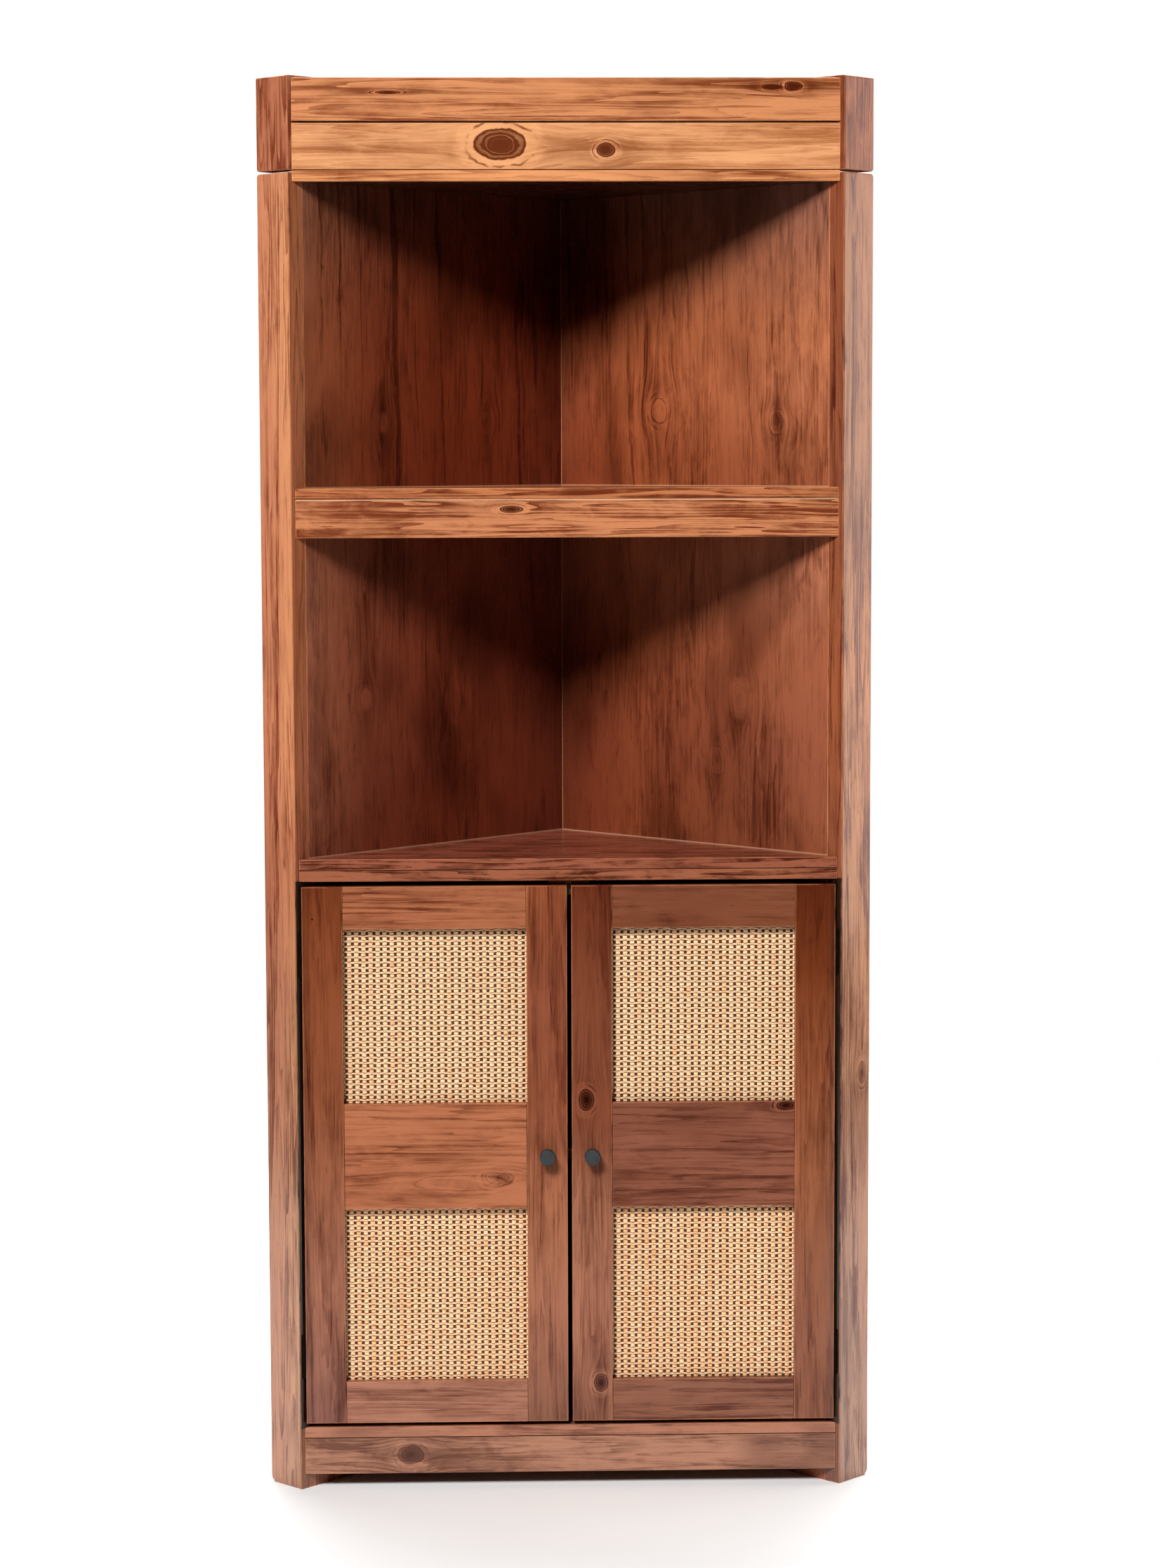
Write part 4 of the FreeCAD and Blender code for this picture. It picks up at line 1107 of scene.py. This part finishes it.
@dataclass(frozen=True)
class Door:
    """One door: frame boards, two woven panels, beads, a knob and its screw, and a strike plate."""

    side: Side
    rail_lap: float = 0.008

    SEED_STEP = 1.7
    # Share of the tone at the hinge edge of the hinge stile, which is darker than the rest.
    RUBBED_SHARE = 0.7
    STRIKE_HEAD = (0.0025, 0.00015)

    @property
    def body(self) -> str:
        """The body that the door's pieces ride on."""
        return f"{self.side.label}_door"

    def boards(self) -> tuple[Board, ...]:
        """Return the frame's boards; the two doors are cut from different wood."""
        label, left = self.side.label, self.side is Side.LEFT
        shift = 20.0 if left else 30.0
        knots = {
            "left_middle_rail": (Knot(0.035, -0.037, 0.011, 6.0, -0.3, 0.0), Knot(0.083, -0.034, 0.005, 4.5, 0.5, 0.3)),
            "left_hinge_stile": (Knot(0.324, -0.013, 0.0014, 1.0),),
            "right_middle_rail": (Knot(0.112, 0.066, 0.007, 1.8, 1.3, 0.8),),
            "right_meeting_stile": (Knot(0.076, -0.008, 0.0105, 1.4, 1.3),
                                    Knot(-0.315, 0.0115, 0.0095, 1.3, 1.2, 0.8)),
        }
        tone = (0.69, 0.625, 0.71) if left else (0.8, 0.855, 1.09)
        # rubbed: the tone at the hinge edge of the hinge stile, darker than the rest.
        rubbed = tuple(self.RUBBED_SHARE * part for part in tone)
        outer = tone if left else (0.655, 0.59, 0.63)
        edge_tones = ((0.0, rubbed), (0.3, outer)) if left else ((0.7, outer), (1.0, rubbed))
        # Tones per rail, top to bottom; the left bottom rail is bluer as painted reflection of the floor.
        rail_tones = (((0.735, 0.665, 0.7), (0.8, 0.74, 0.79), (0.71, 0.82, 1.18)) if left else
                      ((0.4, 0.33, 0.36), (0.465, 0.425, 0.555), (0.465, 0.48, 0.66)))
        boards = []
        for count, piece in enumerate(("hinge_stile", "meeting_stile", "cane_beads")):
            name = f"{label}_{piece}"
            boards.append(Board(name, Lay.UPRIGHT_FRONT, DOOR_WOOD, shift + self.SEED_STEP * count, 0.009,
                                (0.02 + 0.01 * count, 0.07), (0.01, 0.015), knots=knots.get(name, ()),
                                tones=even(*tone) if count else edge_tones,
                                run_tones=STILE_LIGHT_FALLS.get(name, even(1.0, 1.0, 1.0))))
        for count, piece in enumerate(("top_rail", "middle_rail", "bottom_rail")):
            name = f"{label}_{piece}"
            boards.append(Board(name, Lay.LEVEL_FRONT, RAIL_WOOD, shift + 6.1 + self.SEED_STEP * count, 0.01,
                                (-0.09 + 0.02 * count, 0.05), (0.03, 0.025), knots=knots.get(name, ()),
                                tones=even(*rail_tones[count]), low_seams=ALONG, high_seams=ALONG,
                                trim=(self.rail_lap, 0.0, 0.0)))
        return tuple(boards)

    def panels(self) -> tuple[WovenPanel, ...]:
        """Return the door's two woven panels."""
        start = 3.0 if self.side is Side.LEFT else 7.0
        return tuple(WovenPanel(f"{self.side.label}_{field}_cane", self.body, start + count)
                     for count, field in enumerate(("upper", "lower")))

    def build(self, groups: WoodGroups, weave_tool: NodeTool, screw_tool: NodeTool) -> None:
        """Dress the frame, weave the panels and finish the fittings.

        Args:
            groups: The shared wood effects.
            weave_tool: The tree that weaves cane.
            screw_tool: The tree that makes screw heads.
        """
        for board in self.boards():
            board.dress(groups)
        for panel in self.panels():
            panel.weave(weave_tool, CaneFinish())
        label = self.side.label
        give_material(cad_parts[f"{label}_knob"], BLACK_IRON.material())
        for fitting in ("knob_screw", "strike_plate"):
            give_material(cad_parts[f"{label}_{fitting}"], BRIGHT_STEEL.material())
        low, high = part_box(f"{label}_strike_plate")
        middle = (low + high) / 2
        screw = Screw((middle.x, high.y, middle.z), (0.0, 1.0, 0.0))
        ScrewSet(f"{label}_strike_screw", self.body, "bright_steel", BRIGHT_STEEL, *self.STRIKE_HEAD,
                 (screw,)).drive(screw_tool)


@dataclass(frozen=True)
class HingePair:
    """A side's two butt hinges with the screws in their leaves."""

    side: Side
    reach: float = 0.016
    post_face: float = -0.001
    door_face: float = -0.0022
    feet: tuple[float, float] = (0.153, 0.704)
    screw_steps: tuple[float, float, float] = (0.01, 0.03, 0.05)

    SCREW_HEAD = (0.0026, 0.00018)

    def build(self, screw_tool: NodeTool) -> None:
        """Dress leaves and pins and drive three screws into each leaf."""
        label = self.side.label
        for piece in ("hinge_post_leaves", "hinge_door_leaves", "hinge_pins"):
            give_material(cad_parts[f"{label}_{piece}"], DARK_STEEL.material())
        spot = SideFrame(self.side)
        outward = Vector(spot.outward)
        leaves = (("post", "carcass", self.post_face, -outward), ("door", f"{label}_door", self.door_face, outward))
        for leaf, body, face, facing in leaves:
            screws = tuple(Screw(spot.at(self.reach, face, foot + step), tuple(facing))
                           for foot in self.feet for step in self.screw_steps)
            ScrewSet(f"{label}_{leaf}_leaf_screws", body, "dark_steel", DARK_STEEL, *self.SCREW_HEAD,
                     screws).drive(screw_tool)


class Catch:
    """The double magnetic catch under the counter."""

    def build(self) -> None:
        """Dress the housing and its magnets."""
        give_material(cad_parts["door_catch"], CATCH_PLASTIC.material())
        give_material(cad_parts["catch_magnets"], MAGNET.material())
        log.info("catch: housing and magnets")


@dataclass(frozen=True)
class Softbox:
    """A rectangular studio light that faces a point."""

    name: str
    place: Point
    target: Point
    size: tuple[float, float]
    power: float

    def hang(self) -> None:
        """Put the light into the scene."""
        data = bpy.data.lights.new(self.name, "AREA")
        data.shape = "RECTANGLE"
        data.size, data.size_y = self.size
        data.energy = self.power
        light = link(bpy.data.objects.new(self.name, data))
        light.location = self.place
        aim = Vector(self.target) - Vector(self.place)
        light.rotation_euler = aim.to_track_quat("-Z", "Y").to_euler()


@dataclass(frozen=True)
class Studio:
    """Camera, lights, floor and background."""

    camera_place: Point = (-0.11382, -4.82541, 1.4007)
    yaw: float = 0.0278
    pitch: float = 0.0939
    roll: float = -0.003
    focal_share: float = 4957.1 / 2233.0
    sensor: float = 36.0
    ambient: float = 0.015
    background: float = 1.0
    floor_half: float = 2.4
    floor_front: float = -1.7
    floor_back: float = 3.0

    FLOOR_TONES = ((0.86, 0.86, 0.86), (0.9, 0.9, 0.9))
    FLOOR_ROUGHNESS = 0.9
    LIGHTS = (
        Softbox("key", (-2.6, -6.7, 6.3), (0.0, 0.0, 1.1), (2.3, 2.3), 1000.0),
        Softbox("right_wall", (2.6, 0.6, 1.5), (0.3, 0.2, 1.2), (1.6, 2.2), 30.0),
        Softbox("overhead", (0.0, 1.9, 4.2), (0.0, 1.9, 0.0), (3.4, 2.6), 330.0),
    )

    def build(self) -> None:
        """Set up the whole studio."""
        self._camera()
        self._world()
        self._floor()
        for light in self.LIGHTS:
            light.hang()
        view = bpy.context.scene.view_settings
        view.view_transform = "Standard"
        view.look = "None"
        log.info("studio: camera, floor and %d lights", len(self.LIGHTS))

    def _camera(self) -> None:
        """Place the camera where the photograph was taken from."""
        data = bpy.data.cameras.new("camera")
        data.sensor_width = self.sensor
        data.lens = self.focal_share * self.sensor
        data.clip_end = 100.0
        camera = link(bpy.data.objects.new("camera", data))
        turn = Matrix.Translation(self.camera_place)
        for angle, axis in ((-self.yaw, "Z"), (math.pi / 2 - self.pitch, "X"), (self.roll, "Z")):
            turn = turn @ Matrix.Rotation(angle, 4, axis)
        camera.matrix_world = turn
        bpy.context.scene.camera = camera

    def _world(self) -> None:
        """Make a soft grey surround that the camera sees as white."""
        world = bpy.data.worlds.new("studio")
        world.use_nodes = True
        w = Wiring(world.node_tree)
        world.node_tree.nodes.clear()
        shades = [w.one("ShaderNodeBackground", {"Color": (1.0, 1.0, 1.0), "Strength": strength})
                  for strength in (self.ambient, self.background)]
        seen = w.one("ShaderNodeLightPath", output="Is Camera Ray")
        w.add("ShaderNodeOutputWorld", {"Surface": w.one("ShaderNodeMixShader", {0: seen, 1: shades[0], 2: shades[1]})})
        bpy.context.scene.world = world

    def _floor(self) -> None:
        """Lay a pale floor under the object."""
        half, front, back = self.floor_half, self.floor_front, self.floor_back
        mesh = bpy.data.meshes.new("floor")
        mesh.from_pydata([(-half, front, 0), (half, front, 0), (half, back, 0), (-half, back, 0)], [], [(0, 1, 2, 3)])
        floor = link(bpy.data.objects.new("floor", mesh))
        material, w, shader = new_material("pale_floor")
        cloud = w.noise(w.place() * 3.0, 3.0)
        w.fill(shader, {"Base Color": w.mix(cloud, *self.FLOOR_TONES), "Roughness": self.FLOOR_ROUGHNESS})
        give_material(floor, material)


def main() -> None:
    """Build the sub-assemblies in order and report each piece."""
    logging.basicConfig(level=logging.INFO, format="%(name)s %(message)s")
    groups = WoodGroups()
    weave_tool = WovenPanel.tool()
    screw_tool = ScrewSet.tool()
    Carcass().build(groups, screw_tool)
    for side in Side:
        Door(side).build(groups, weave_tool, screw_tool)
        HingePair(side).build(screw_tool)
    Catch().build()
    Studio().build()


if __name__ == "__main__":
    main()
